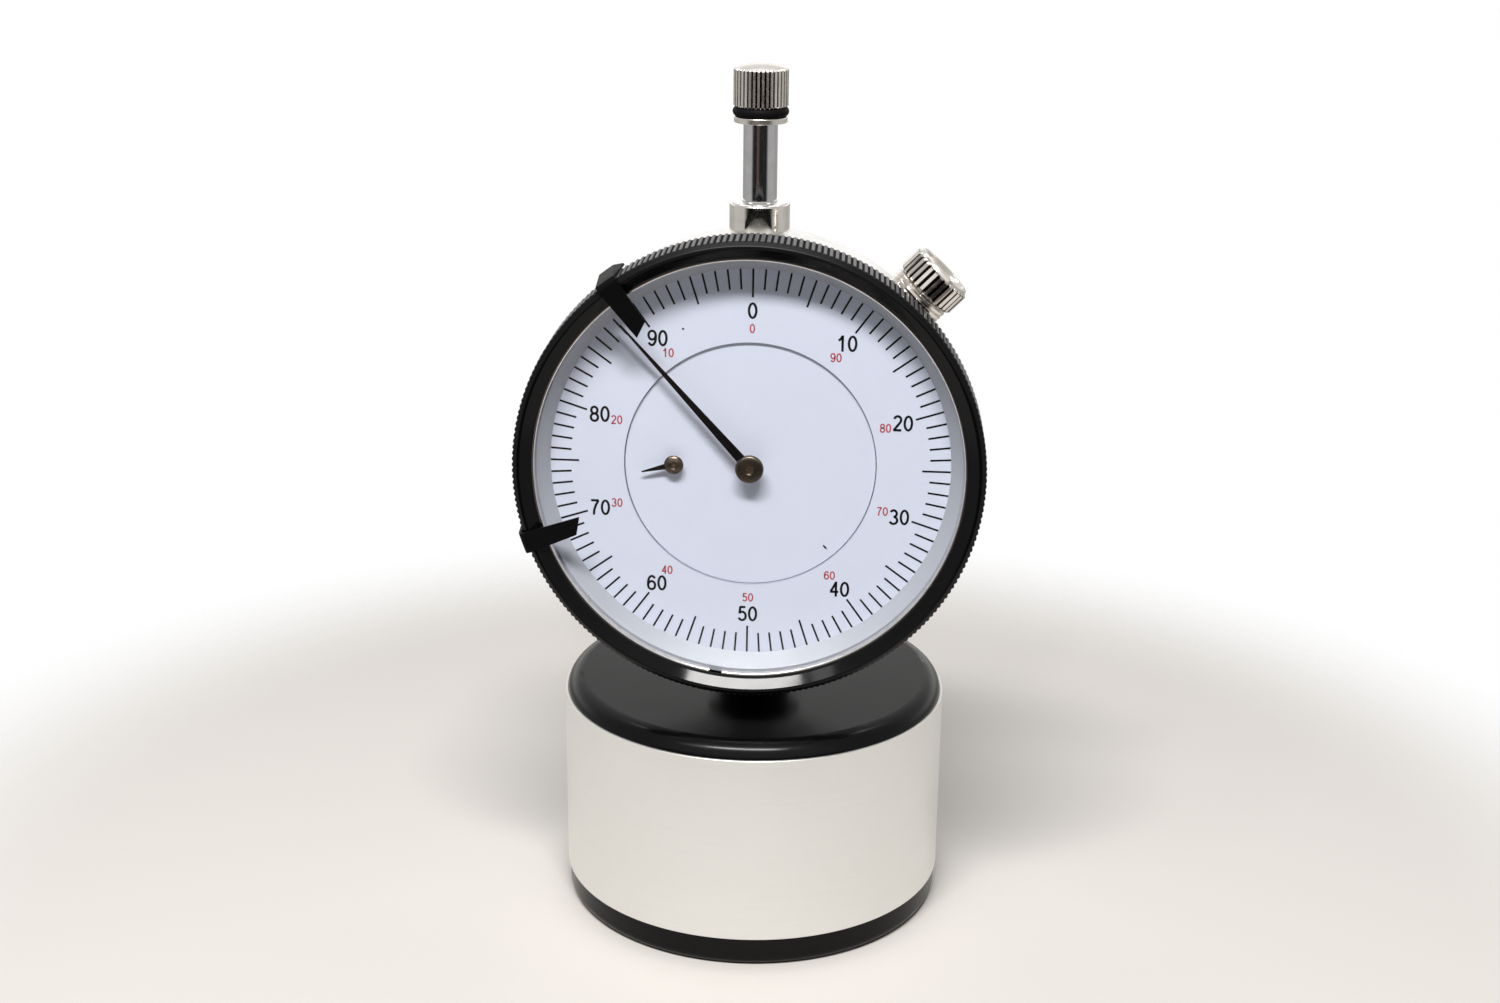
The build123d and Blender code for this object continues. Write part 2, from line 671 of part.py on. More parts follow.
def make_bezel():
    snap_front = SNAP_RING_Y[0] - GROOVE_ROOM
    snap_back = SNAP_RING_Y[1] + GROOVE_ROOM
    snap_radius = SNAP_RING_RADII[1] + GROOVE_ROOM
    core = BEZEL_RIDGE_ROOT - 0.1
    step = 0.2
    profile = [
        (BEZEL_WINDOW, BEZEL_LIP_Y),
        BEZEL_CONE_START,
        (BEZEL_CREST_RADII[0], BEZEL_CREST_Y),
        (BEZEL_CREST_RADII[1], BEZEL_CREST_Y),
        (core, BEZEL_RIDGE_FRONT_Y - step),
        (core, BEZEL_RIDGE_BACK_Y - step),
        (BEZEL_SKIRT, BEZEL_RIDGE_BACK_Y - step),
        (BEZEL_SKIRT, BEZEL_BACK_Y),
        (BEZEL_BORE, BEZEL_BACK_Y),
        (BEZEL_BORE, snap_back),
        (snap_radius, snap_back),
        (snap_radius, snap_front),
        (BEZEL_BORE, snap_front),
        (BEZEL_BORE, REHAUT_SEAT_Y),
        (CRYSTAL_RADIUS, REHAUT_SEAT_Y),
        (CRYSTAL_RADIUS, CRYSTAL_FRONT_Y),
        (CRYSTAL_RING_RADII[1], CRYSTAL_FRONT_Y),
        (CRYSTAL_RING_RADII[1], CRYSTAL_RING_FRONT_Y),
        (BEZEL_WINDOW, CRYSTAL_RING_FRONT_Y),
    ]
    ridges = ridged_face(BEZEL_RIDGE_TIP, BEZEL_RIDGE_ROOT, BEZEL_RIDGES) - Circle(BEZEL_SKIRT - 0.5)
    rim = plate_y(ridges, CENTRE_PLACE, (BEZEL_RIDGE_FRONT_Y, BEZEL_RIDGE_BACK_Y))
    return turned_y(profile) + rim


def make_crystal():
    return ring_y(0, CRYSTAL_RADIUS, (CRYSTAL_FRONT_Y, CRYSTAL_BACK_Y))


def make_crystal_ring():
    span = (CRYSTAL_RING_FRONT_Y, CRYSTAL_FRONT_Y)
    ring = ring_y(*CRYSTAL_RING_RADII, span)
    return ring - gap_at(CRYSTAL_RING_GAP_BEARING, CRYSTAL_RING_GAP, span)


def make_rehaut():
    profile = [
        (DIAL_EDGE, DIAL_Y),
        (DIAL_RING_RADIUS, DIAL_Y),
        (SPIGOT_RADIUS, REHAUT_SEAT_Y + 0.05),
        (SPIGOT_RADIUS, REHAUT_SEAT_Y),
        (CRYSTAL_RADIUS, REHAUT_SEAT_Y),
        (CRYSTAL_RADIUS, CRYSTAL_BACK_Y),
        (CRYSTAL_RADIUS - 0.45, CRYSTAL_BACK_Y),
        (DIAL_EDGE, DIAL_Y - 0.1),
    ]
    return turned_y(profile)


def make_dial_ring():
    return ring_y(DIAL_RING_HOLE, DIAL_RING_RADIUS, (DIAL_Y, DIAL_Y + DIAL_THICKNESS))


def make_bezel_snap_ring():
    ring = ring_y(*SNAP_RING_RADII, SNAP_RING_Y)
    return ring - gap_at(0, SNAP_RING_GAP, SNAP_RING_Y)


# Limit markers


def marker_profile():
    """The bent sheet in section: arm over the crystal, wall over the rim, hook behind it."""
    sheet = MARKER_SHEET
    arm_end = MARKER_LONG_REACH - 1
    tip_y = MARKER_CREST_Y + MARKER_TIP_RISE
    crest_y = MARKER_CREST_Y - sheet
    back_y = MARKER_HOOK_Y + sheet
    return [
        (arm_end, tip_y - sheet),
        (MARKER_WALL_FRONT - MARKER_FOLD, crest_y),
        (MARKER_WALL_FRONT + sheet, crest_y),
        (MARKER_WALL_BACK + sheet, back_y),
        (MARKER_HOOK_END, back_y),
        (MARKER_HOOK_END, MARKER_HOOK_Y),
        (MARKER_WALL_BACK, MARKER_HOOK_Y),
        (MARKER_WALL_FRONT, MARKER_CREST_Y),
        (MARKER_WALL_FRONT - MARKER_FOLD, MARKER_CREST_Y),
        (arm_end, tip_y),
    ]


def marker_sheet(side):
    """The strip with its long edge at bearing 0; side is 1 if the rest lies clockwise."""
    outer_fold = MARKER_FOLD + MARKER_SHEET / 2
    flat = outline(marker_profile(), {2: outer_fold, 7: MARKER_FOLD - MARKER_SHEET / 2})
    start = -90.0 if side > 0 else -90.0 - MARKER_SWEEP
    strip = Rot(0, start, 0) * revolve(flat, Axis.Y, MARKER_SWEEP)
    short = on_circle(MARKER_SHORT_REACH, side * MARKER_SWEEP)
    room = 3.0
    end = [
        (0, MARKER_LONG_REACH),
        short,
        (short[0] + side * room, short[1]),
        (short[0] + side * room, MARKER_LONG_REACH - room),
        (-side * room, MARKER_LONG_REACH - room),
        (-side * room, MARKER_LONG_REACH),
    ]
    past_end = Plane.XZ * make_face(Polyline(end, close=True))
    return strip - extrude(past_end, amount=2 * CASE_RADIUS)


def marker_corner(side, sweep, radius, y):
    """A point of the marker's ear."""
    x, height = on_circle(radius, side * sweep)
    return (x, y, height)


def marker_ear(side):
    """The flat corner that the sheet is creased down to, at the back of its short side."""
    back_y = MARKER_HOOK_Y + MARKER_SHEET
    corners = [
        marker_corner(side, MARKER_SWEEP - 0.15, MARKER_WALL_FRONT, BEZEL_RIDGE_FRONT_Y - 0.15),
        marker_corner(side, MARKER_CREASE_SWEEP, MARKER_WALL_BACK, back_y),
        marker_corner(side, MARKER_EAR_SWEEP, MARKER_EAR_RADIUS, back_y),
    ]
    outward = Vector(*marker_corner(side, MARKER_SWEEP, 1, 0))
    return extrude(make_face(Polyline(corners, close=True)), amount=MARKER_SHEET, dir=outward)


def marker_crease_cut(side):
    """What the crease takes away from the wall, drawn as seen from above the rim."""
    radius = MARKER_WALL_BACK
    crease = [
        marker_corner(side, MARKER_SWEEP, radius, BEZEL_RIDGE_FRONT_Y)[:2],
        marker_corner(side, MARKER_CREASE_SWEEP, radius, MARKER_HOOK_Y + 1)[:2],
        marker_corner(side, MARKER_EAR_SWEEP, radius, MARKER_HOOK_Y + 1)[:2],
    ]
    above = Plane.XY.offset(BEZEL_RIDGE_TIP) * make_face(Polyline(crease, close=True))
    return extrude(above, amount=radius)


def make_marker(edge_bearing, side):
    marker = marker_sheet(side) - marker_crease_cut(side) + marker_ear(side)
    return Pos(0, 0, AXIS_Z) * Rot(0, edge_bearing, 0) * marker


# Dial centre, hands and movement


def make_dial_centre():
    disc = ring_y(0, CENTRE_DISC_RADIUS, CENTRE_DISC_Y)
    disc -= bar_y(CENTRE_PLACE, ARBOR_RADIUS + 0.4, CENTRE_DISC_Y)
    disc -= bar_y(COUNTER_PLACE, ARBOR_RADIUS + 0.2, CENTRE_DISC_Y)
    for place in CENTRE_DISC_FEET:
        disc += bar_y(place, SMALL_SCREW_RADIUS, (CENTRE_DISC_Y[1] - 0.1, FRONT_PLATE_Y[0]))
    return disc


def hand_plate(place, bearing, reach, widths, eye, hole, y_span):
    """A flat tapered hand with a round eye."""
    root, tip = widths[0] / 2, widths[1] / 2
    blade = make_face(Polyline([(-root, 0), (-tip, reach), (tip, reach), (root, 0)], close=True))
    flat = Rot(0, 0, -bearing) * (blade + Circle(eye)) - Circle(hole)
    return plate_y(flat, place, y_span)


def hub(place, head, neck, bore, y_steps):
    """A turned hub: a head in front of the hand and a neck through its eye."""
    y_front, y_seat, y_back = y_steps
    edge = 0.15
    profile = [
        (bore, y_front + edge),
        (bore + edge, y_front),
        (head - edge, y_front),
        (head, y_front + edge),
        (head, y_seat),
        (neck, y_seat),
        (neck, y_back),
        (bore, y_back),
    ]
    return Pos(place[0], 0, place[1]) * turned_y(profile)


def make_main_hand():
    return hand_plate(CENTRE_PLACE, HAND_BEARING, HAND_REACH, HAND_WIDTHS, HAND_EYE, HAND_NECK, HAND_Y)


def make_main_hand_hub():
    y_steps = (HAND_HUB_FRONT_Y, HAND_Y[0], HAND_HUB_BACK_Y)
    return hub(CENTRE_PLACE, HAND_HUB_RADIUS, HAND_NECK, HAND_SEAT, y_steps)


def make_counter_hand():
    eye = COUNTER_HUB_RADIUS - 0.2
    return hand_plate(
        COUNTER_PLACE, COUNTER_BEARING, COUNTER_REACH, COUNTER_WIDTHS, eye, COUNTER_NECK, COUNTER_Y
    )


def make_counter_hub():
    y_steps = (COUNTER_HUB_FRONT_Y, COUNTER_Y[0], COUNTER_HUB_BACK_Y)
    return hub(COUNTER_PLACE, COUNTER_HUB_RADIUS, COUNTER_NECK, COUNTER_SEAT, y_steps)


def arbor(place, steps):
    """A stepped round shaft from (radius, y end) steps, the first of which is its front end."""
    start = steps[0][1]
    profile = [(0, start)]
    for radius, end in steps[1:]:
        profile.append((radius, start))
        profile.append((radius, end))
        start = end
    profile.append((0, start))
    return Pos(place[0], 0, place[1]) * turned_y(profile)


CENTRE_PHASE = bearing_of(FIRST_PLACE) + 180.0 / PINION_TEETH
FIRST_WHEEL_PHASE = meshing_phase(CENTRE_PHASE, PINION_TEETH, WHEEL_TEETH, bearing_of(FIRST_PLACE))
COUNTER_WHEEL_PHASE = meshing_phase(CENTRE_PHASE, PINION_TEETH, WHEEL_TEETH, bearing_of(COUNTER_PLACE))
RACK_PINION_PHASE = 90.0


def make_centre_pinion():
    steps = [
        (0, HAND_HUB_FRONT_Y + HUB_RECESS),
        (HAND_SEAT, HAND_HUB_BACK_Y),
        (ARBOR_RADIUS - 0.05, MAIN_PLATE_Y[0]),
        (PIVOT_RADIUS, PIVOT_END_Y),
    ]
    teeth = gear_face(PINION_TEETH, WHEEL_MODULE * PINION_TEETH / 2, CENTRE_PHASE)
    return arbor(CENTRE_PLACE, steps) + plate_y(teeth, CENTRE_PLACE, CENTRE_PINION_Y)


def wheel(place, phase, y_span, hole):
    """A thin wheel with four round openings between its arms."""
    pitch_radius = WHEEL_MODULE * WHEEL_TEETH / 2
    face = gear_face(WHEEL_TEETH, pitch_radius, phase) - Circle(hole)
    opening = 0.22 * pitch_radius
    for quarter in range(4):
        face -= Pos(*on_circle(0.56 * pitch_radius, 45 + 90 * quarter)) * Circle(opening)
    return plate_y(face, place, y_span)


def make_first_wheel():
    return wheel(FIRST_PLACE, FIRST_WHEEL_PHASE, FIRST_WHEEL_Y, ARBOR_RADIUS)


def make_counter_wheel():
    return wheel(COUNTER_PLACE, COUNTER_WHEEL_PHASE, COUNTER_WHEEL_Y, COUNTER_ARBOR_RADIUS)


def make_counter_arbor():
    steps = [
        (0, COUNTER_HUB_FRONT_Y + HUB_RECESS),
        (COUNTER_SEAT, COUNTER_HUB_BACK_Y),
        (COUNTER_ARBOR_RADIUS, COUNTER_WHEEL_Y[1]),
        (COUNTER_COLLAR_RADIUS, COUNTER_WHEEL_Y[1] + 0.4),
        (COUNTER_ARBOR_RADIUS, HAIRSPRING_Y[0] - 0.1),
        (HAIRSPRING_RADII[0], HAIRSPRING_Y[1] + 0.1),
        (COUNTER_ARBOR_RADIUS, MAIN_PLATE_Y[0]),
        (PIVOT_RADIUS, PIVOT_END_Y),
    ]
    return arbor(COUNTER_PLACE, steps)


def make_rack_pinion():
    steps = [
        (0, FRONT_PLATE_Y[0] + 0.1),
        (PIVOT_RADIUS, FRONT_PLATE_Y[1]),
        (ARBOR_RADIUS, BRIDGE_Y[0]),
        (PIVOT_RADIUS, BRIDGE_Y[1] - 0.1),
    ]
    teeth = gear_face(RACK_PINION_TEETH, RACK_PINION_RADIUS, RACK_PINION_PHASE)
    return arbor(FIRST_PLACE, steps) + plate_y(teeth, FIRST_PLACE, RACK_PINION_Y)


def make_hairspring():
    """A flat spiral from the collar on the counter arbor to the stud."""
    inner, outer = HAIRSPRING_RADII
    steps_per_turn = 12
    count = HAIRSPRING_TURNS * steps_per_turn
    half = HAIRSPRING_WIRE / 2
    inside = []
    outside = []
    for step in range(count + 1):
        radius = inner + half + (outer - inner) * step / count
        bearing = 270.0 + 360.0 * step / steps_per_turn
        inside.append(on_circle(radius - half, bearing))
        outside.append(on_circle(radius + half, bearing))
    face = make_face(Polyline(outside + inside[::-1], close=True))
    return plate_y(face, COUNTER_PLACE, HAIRSPRING_Y)


def make_hairspring_stud():
    return bar_y(STUD_PLACE, HAIRSPRING_STUD, (HAIRSPRING_Y[0] - 0.2, MAIN_PLATE_Y[1]))


def make_movement_front_plate():
    plate = ring_y(0, FRONT_PLATE_RADIUS, FRONT_PLATE_Y)
    plate -= bar_y(CENTRE_PLACE, ARBOR_RADIUS, FRONT_PLATE_Y)
    plate -= bar_y(COUNTER_PLACE, COUNTER_ARBOR_RADIUS + RUNNING_FIT, FRONT_PLATE_Y)
    plate -= bar_y(FIRST_PLACE, PIVOT_HOLE, FRONT_PLATE_Y)
    for bearing in PILLAR_PLACES:
        plate -= bar_y(on_circle(PILLAR_CIRCLE, bearing), SMALL_SCREW_RADIUS, FRONT_PLATE_Y)
    return plate


def make_movement_main_plate():
    plate = ring_y(0, MAIN_PLATE_RADIUS, MAIN_PLATE_Y)
    plate -= bar_y(CENTRE_PLACE, PIVOT_HOLE, MAIN_PLATE_Y)
    plate -= bar_y(COUNTER_PLACE, PIVOT_HOLE, MAIN_PLATE_Y)
    plate -= bar_y(FIRST_PLACE, ARBOR_RADIUS + 0.4, MAIN_PLATE_Y)
    plate -= bar_y(STUD_PLACE, HAIRSPRING_STUD, MAIN_PLATE_Y)
    plate -= bar_y((ARM_X, SPRING_POST_Z - AXIS_Z), ARM_PIN_RADIUS, MAIN_PLATE_Y)
    for bearing in PILLAR_PLACES:
        plate -= bar_y(on_circle(PILLAR_CIRCLE, bearing), SMALL_SCREW_RADIUS, MAIN_PLATE_Y)
    for bearing in LUG_BEARINGS:
        plate -= bar_y(on_circle(LUG_PLACE, bearing), PLATE_SCREW_RADIUS, MAIN_PLATE_Y)
    for place in BRIDGE_PILLARS:
        plate -= bar_y(place, ARBOR_RADIUS, MAIN_PLATE_Y)
    notch_width = SHOE_WIDTH[1] + 0.3
    notch = block((-notch_width, notch_width), MAIN_PLATE_Y, (SHOE_BAR_RADII[0] - 0.2, CASE_RADIUS))
    return plate - radial(LOCK_BEARING, 0, notch)


def make_pinion_bridge():
    corner = 1.6
    circles = Sketch() + [Pos(*place) * Circle(corner) for place in (*BRIDGE_PILLARS, FIRST_PLACE)]
    bridge = plate_y(make_hull(circles.edges()), CENTRE_PLACE, BRIDGE_Y)
    bridge -= bar_y(FIRST_PLACE, PIVOT_HOLE, BRIDGE_Y)
    for place in BRIDGE_PILLARS:
        bridge -= bar_y(place, ARBOR_RADIUS, BRIDGE_Y)
    return bridge


def make_front_pillars():
    pillars = []
    for bearing in PILLAR_PLACES:
        place = on_circle(PILLAR_CIRCLE, bearing)
        pillar = bar_y(place, PILLAR_RADIUS, (FRONT_PLATE_Y[1], MAIN_PLATE_Y[0]))
        pillar += bar_y(place, SMALL_SCREW_RADIUS, (MAIN_PLATE_Y[0] - 1, MAIN_PLATE_Y[1]))
        pillars.append(pillar - bar_y(place, SMALL_SCREW_RADIUS, (FRONT_PLATE_Y[1], PILLAR_SCREW_END_Y)))
    return pillars


def make_bridge_pillars():
    pillars = []
    for place in BRIDGE_PILLARS:
        pillar = bar_y(place, BRIDGE_PILLAR_RADIUS, (MAIN_PLATE_Y[1], BRIDGE_Y[0]))
        pillars.append(pillar + bar_y(place, ARBOR_RADIUS, (MAIN_PLATE_Y[0], BRIDGE_Y[1])))
    return pillars


def make_movement_screws():
    """Four screws into the front pillars and three that hold the main plate on the case's lugs."""
    screws = []
    for bearing in PILLAR_PLACES:
        place = on_circle(PILLAR_CIRCLE, bearing)
        screw = bar_y(place, PILLAR_RADIUS, (FRONT_PLATE_Y[0] - 0.5, FRONT_PLATE_Y[0]))
        screws.append(screw + bar_y(place, SMALL_SCREW_RADIUS, (FRONT_PLATE_Y[0], PILLAR_SCREW_END_Y)))
    for bearing in LUG_BEARINGS:
        place = on_circle(LUG_PLACE, bearing)
        screw = bar_y(place, 2 * PLATE_SCREW_RADIUS, (MAIN_PLATE_Y[0] - 0.9, MAIN_PLATE_Y[0]))
        screws.append(screw + bar_y(place, PLATE_SCREW_RADIUS, (MAIN_PLATE_Y[0], PLATE_SCREW_END_Y)))
    return screws


def make_guide_rail():
    slot_half = ARM_PIN_RADIUS + RUNNING_FIT
    rail = block(RAIL_X, RAIL_Y, RAIL_Z)
    return rail - block((ARM_X - slot_half, ARM_X + slot_half), RAIL_Y, RAIL_SLOT_Z)


def make_spring_post():
    place = (ARM_X, SPRING_POST_Z - AXIS_Z)
    head_y = SPRING_Y + 1.5
    post = bar_y(place, ARM_PIN_RADIUS, (MAIN_PLATE_Y[0], head_y))
    return post + bar_y(place, ARM_PIN_RADIUS + 0.5, (head_y, head_y + 0.4))


def make_return_spring():
    """A close-wound pulling spring with a loop at each end."""
    low, high = SPRING_BODY_Z
    valley, crest = SPRING_RADII
    wave = (high - low) / SPRING_WAVES
    profile = [(0, low), (valley, low)]
    for turn in range(SPRING_WAVES):
        profile.append((crest, low + (turn + 0.5) * wave))
        profile.append((valley, low + (turn + 1) * wave))
    profile.append((0, high))
    hole = ARM_PIN_RADIUS + RUNNING_FIT
    loop_radius = hole + SPRING_WIRE
    loop = Rot(90, 0, 0) * (Cylinder(hole + 2 * SPRING_WIRE, 2 * SPRING_WIRE) - Cylinder(hole, 1))
    pin_z = sum(ARM_Z) / 2
    spring = turned_z(profile)
    spring += Pos(0, 0, SPRING_POST_Z) * loop
    spring += Pos(0, 0, pin_z) * loop
    spring += upright(SPRING_WIRE, (SPRING_POST_Z + loop_radius, low))
    spring += upright(SPRING_WIRE, (high, pin_z - loop_radius))
    return Pos(ARM_X, SPRING_Y, 0) * spring


PIECES = {
    "base_weight": make_base_weight,
    "label_band": make_label_band,
    "base_set_screw": make_base_set_screw,
    "stem": make_stem,
    "case_body": make_case_body,
    "back_cover": make_back_cover,
    "back_cover_screws": make_back_cover_screws,
    "top_bushing": make_top_bushing,
    "lock_bushing": make_lock_bushing,
    "bezel_clamp_shoe": make_bezel_clamp_shoe,
    "bezel_snap_ring": make_bezel_snap_ring,
    "movement_front_plate": make_movement_front_plate,
    "movement_main_plate": make_movement_main_plate,
    "pinion_bridge": make_pinion_bridge,
    "front_pillars": make_front_pillars,
    "bridge_pillars": make_bridge_pillars,
    "movement_screws": make_movement_screws,
    "dial_centre": make_dial_centre,
    "guide_rail": make_guide_rail,
    "spring_post": make_spring_post,
    "return_spring": make_return_spring,
    "hairspring": make_hairspring,
    "hairspring_stud": make_hairspring_stud,
    "spindle": make_spindle,
    "contact_point": make_contact_point,
    "guide_arm": make_guide_arm,
    "spindle_cap": make_spindle_cap,
    "cap_o_ring": make_cap_o_ring,
    "rack_pinion": make_rack_pinion,
    "first_wheel": make_first_wheel,
    "centre_pinion": make_centre_pinion,
    "main_hand": make_main_hand,
    "main_hand_hub": make_main_hand_hub,
    "counter_arbor": make_counter_arbor,
    "counter_wheel": make_counter_wheel,
    "counter_hand": make_counter_hand,
    "counter_hub": make_counter_hub,
    "bezel": make_bezel,
    "crystal": make_crystal,
    "crystal_ring": make_crystal_ring,
    "rehaut": make_rehaut,
    "dial_ring": make_dial_ring,
    "marker_upper": lambda: make_marker(MARKER_UPPER_EDGE, 1),
    "marker_lower": lambda: make_marker(MARKER_LOWER_EDGE, -1),
    "lock_screw": make_lock_screw,
}


def main():
    os.makedirs("parts", exist_ok=True)
    for name, make in PIECES.items():
        made = make()
        solids = made if isinstance(made, list) else [made]
        shape = Compound(children=solids) if len(solids) > 1 else solids[0]
        export_step(shape, f"parts/{name}.step")
        print(name, len(shape.solids()), round(shape.volume, 2))


main()
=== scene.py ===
# %% [markdown]
# A dial gauge on its base, dressed in Blender.
# The real object is a dial indicator on a heavy black base. Its pieces are turned, knurled, plated
# or printed metal, so most of them can be made the way a lathe makes them: draw half a section,
# round its corners, and spin it about the axis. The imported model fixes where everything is.

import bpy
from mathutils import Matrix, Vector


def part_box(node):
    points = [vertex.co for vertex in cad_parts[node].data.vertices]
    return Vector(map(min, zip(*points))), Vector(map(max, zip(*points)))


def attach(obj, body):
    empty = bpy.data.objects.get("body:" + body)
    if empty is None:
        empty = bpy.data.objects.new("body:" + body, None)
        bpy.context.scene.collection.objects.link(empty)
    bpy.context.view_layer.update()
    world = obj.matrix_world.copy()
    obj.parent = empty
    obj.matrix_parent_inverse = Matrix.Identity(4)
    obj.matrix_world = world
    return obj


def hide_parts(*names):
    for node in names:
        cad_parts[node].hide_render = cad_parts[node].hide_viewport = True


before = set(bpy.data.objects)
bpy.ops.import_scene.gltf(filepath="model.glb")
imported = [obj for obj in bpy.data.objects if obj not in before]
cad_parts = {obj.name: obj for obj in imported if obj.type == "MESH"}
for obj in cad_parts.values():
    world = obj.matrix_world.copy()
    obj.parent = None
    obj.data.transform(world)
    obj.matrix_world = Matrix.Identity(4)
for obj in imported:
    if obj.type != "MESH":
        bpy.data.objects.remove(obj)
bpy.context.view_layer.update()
print("pieces in the packed model:", len(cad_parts))

# %% [markdown]
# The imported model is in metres, as Blender is, but sizes of a few millimetres read better in
# millimetres. So every size below is in millimetres, and one constant turns it into metres. The view
# transform is Standard, which shows a colour as it is instead of softening it like film.

# %% Tools and units
from math import atan2, cos, pi, radians, sin, tau

import bmesh
import bpy
from mathutils import Matrix, Vector

MM = 0.001
scene = bpy.context.scene
scene.view_settings.view_transform = "Standard"


def limits(node):
    """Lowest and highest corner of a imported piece, in millimetres."""
    low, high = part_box(node)
    return low / MM, high / MM


AXIS_Z = sum(corner.z for corner in limits("crystal")) / 2
print("the dial's axis is", round(AXIS_Z, 2), "mm above the foot")

# %% [markdown]
# The camera stands where the photographer stood: a little right of the middle, looking down by
# 18 degrees with a 50 mm lens, and turned by half a degree. Blender's camera looks down its own -Z,
# so tilting it by 90 degrees less the elevation points it at the object.

# %% Camera
CAMERA_PLACE = Vector((13.21, -260.75, 140.40)) * MM
CAMERA_AZIMUTH = radians(3.08)
CAMERA_ELEVATION = radians(18.222)
CAMERA_ROLL = radians(0.627)
FOCAL_LENGTH, SENSOR_WIDTH = 50.16, 36.0

camera_data = bpy.data.cameras.new("camera")
camera_data.sensor_width = SENSOR_WIDTH
camera_data.lens = FOCAL_LENGTH
camera_data.clip_start = 0.01
camera = bpy.data.objects.new("camera", camera_data)
camera.matrix_world = (
    Matrix.Translation(CAMERA_PLACE)
    @ Matrix.Rotation(CAMERA_AZIMUTH, 4, "Z")
    @ Matrix.Rotation(pi / 2 - CAMERA_ELEVATION, 4, "X")
    @ Matrix.Rotation(CAMERA_ROLL, 4, "Z")
)
scene.collection.objects.link(camera)
scene.camera = camera
print("camera", round(camera_data.lens, 2), "mm lens")

# %% [markdown]
# Small helpers keep the node trees readable. One adds a node with its plain values, one joins two
# sockets, and one adds a sum. Every material further down is built from them.

# %% Helpers for node trees


def add_node(tree, kind, values=None, **settings):
    """A node with its own settings, and plain values on the named or numbered sockets."""
    node = tree.nodes.new(kind)
    for setting, value in settings.items():
        setattr(node, setting, value)
    for socket, value in (values or {}).items():
        node.inputs[socket].default_value = value
    return node


def feed(tree, source, target):
    """Joins an output to an input, or sets the input if the source is a plain number."""
    if isinstance(source, (int, float)):
        target.default_value = source
    else:
        tree.links.new(source, target)


def sum_of(tree, operation, first, second=0.0, clamp=False):
    """The output of one Math node."""
    node = add_node(tree, "ShaderNodeMath", operation=operation, use_clamp=clamp)
    feed(tree, first, node.inputs[0])
    feed(tree, second, node.inputs[1])
    return node.outputs[0]


def ramp_between(tree, value, low, high, smooth=True):
    """0 below low, 1 above high, and a soft slope between them."""
    kind = "SMOOTHSTEP" if smooth else "LINEAR"
    node = add_node(tree, "ShaderNodeMapRange", {"From Min": low, "From Max": high}, interpolation_type=kind)
    feed(tree, value, node.inputs["Value"])
    return node.outputs["Result"]


def blended(tree, share, first, second):
    """A colour that goes from the first to the second as share goes from 0 to 1."""
    node = add_node(tree, "ShaderNodeMix", data_type="RGBA")
    feed(tree, share, node.inputs["Factor"])
    for colour, socket in ((first, node.inputs["A"]), (second, node.inputs["B"])):
        if isinstance(colour, (tuple, list)):
            socket.default_value = (*colour, 1.0)
        else:
            tree.links.new(colour, socket)
    return node.outputs["Result"]


# %% [markdown]
# The room decides how polished metal looks. Behind the object and at its sides everything is pale.
# In front it is dark below the horizon, which draws the dark stripe down the rod and the collar, and
# pale above it. The world shader works out the azimuth and the elevation of a ray and picks the
# colour from them. The camera sees plain white, and the diffuse light is even. A ray that leaves the
# glass sees white only where it goes backwards, so that the blacks under the glass stay black.

# %% World
ROOM_BEHIND = (1.3, 1.28, 1.25)
ROOM_BEHIND_HIGH = (0.8, 0.79, 0.78)
ROOM_BEHIND_LOW = (0.48, 0.46, 0.44)
ROOM_SIDES = (0.55, 0.54, 0.53)
ROOM_DARK = (0.022, 0.02, 0.02)
ROOM_WARM = (0.13, 0.085, 0.07)
ROOM_FRONT_HIGH = (0.95, 0.94, 0.92)
SOFT_LIGHT = (0.90, 0.95, 1.0)
SOFT_LIGHT_STRENGTH = 0.15
# Each pair says over which angles, in degrees, one part of the room passes into the next.
SIDES_BEGIN, BACK_BEGINS = (42, 62), (95, 130)
WARM_BEGINS, WARM_ENDS = (-24, -18), (-7, -2)
FRONT_HORIZON, BACK_HORIZON, BACK_TOP = (-4, 5), (-3, 5), (12, 22)

world = bpy.data.worlds.new("room")
world.use_nodes = True
scene.world = world
room = world.node_tree
room.nodes.clear()
axes = add_node(room, "ShaderNodeSeparateXYZ")
room.links.new(add_node(room, "ShaderNodeTexCoord").outputs["Generated"], axes.inputs[0])


def past(tree, angle, span):
    """0 before the first angle of the span and 1 past the second."""
    return ramp_between(tree, angle, radians(span[0]), radians(span[1]))


def room_colour(tree, across, along, upwards):
    """The colour of the room in the direction of a ray."""
    azimuth = sum_of(tree, "ARCTAN2", across, sum_of(tree, "MULTIPLY", along, -1.0))
    elevation = sum_of(tree, "ARCSINE", upwards)
    sideways = sum_of(tree, "ABSOLUTE", azimuth)
    beside = past(tree, sideways, SIDES_BEGIN)
    behind = past(tree, sideways, BACK_BEGINS)
    overhead = past(tree, elevation, FRONT_HORIZON)
    before_end = sum_of(tree, "SUBTRACT", 1.0, past(tree, azimuth, WARM_ENDS))
    warm = sum_of(tree, "MULTIPLY", past(tree, azimuth, WARM_BEGINS), before_end)
    front = blended(tree, warm, ROOM_DARK, ROOM_WARM)
    front = blended(tree, overhead, front, ROOM_FRONT_HIGH)
    around = blended(tree, beside, front, ROOM_SIDES)
    above = past(tree, elevation, BACK_HORIZON)
    high = past(tree, elevation, BACK_TOP)
    backdrop = blended(tree, high, blended(tree, above, ROOM_BEHIND_LOW, ROOM_BEHIND), ROOM_BEHIND_HIGH)
    return blended(tree, behind, around, backdrop)


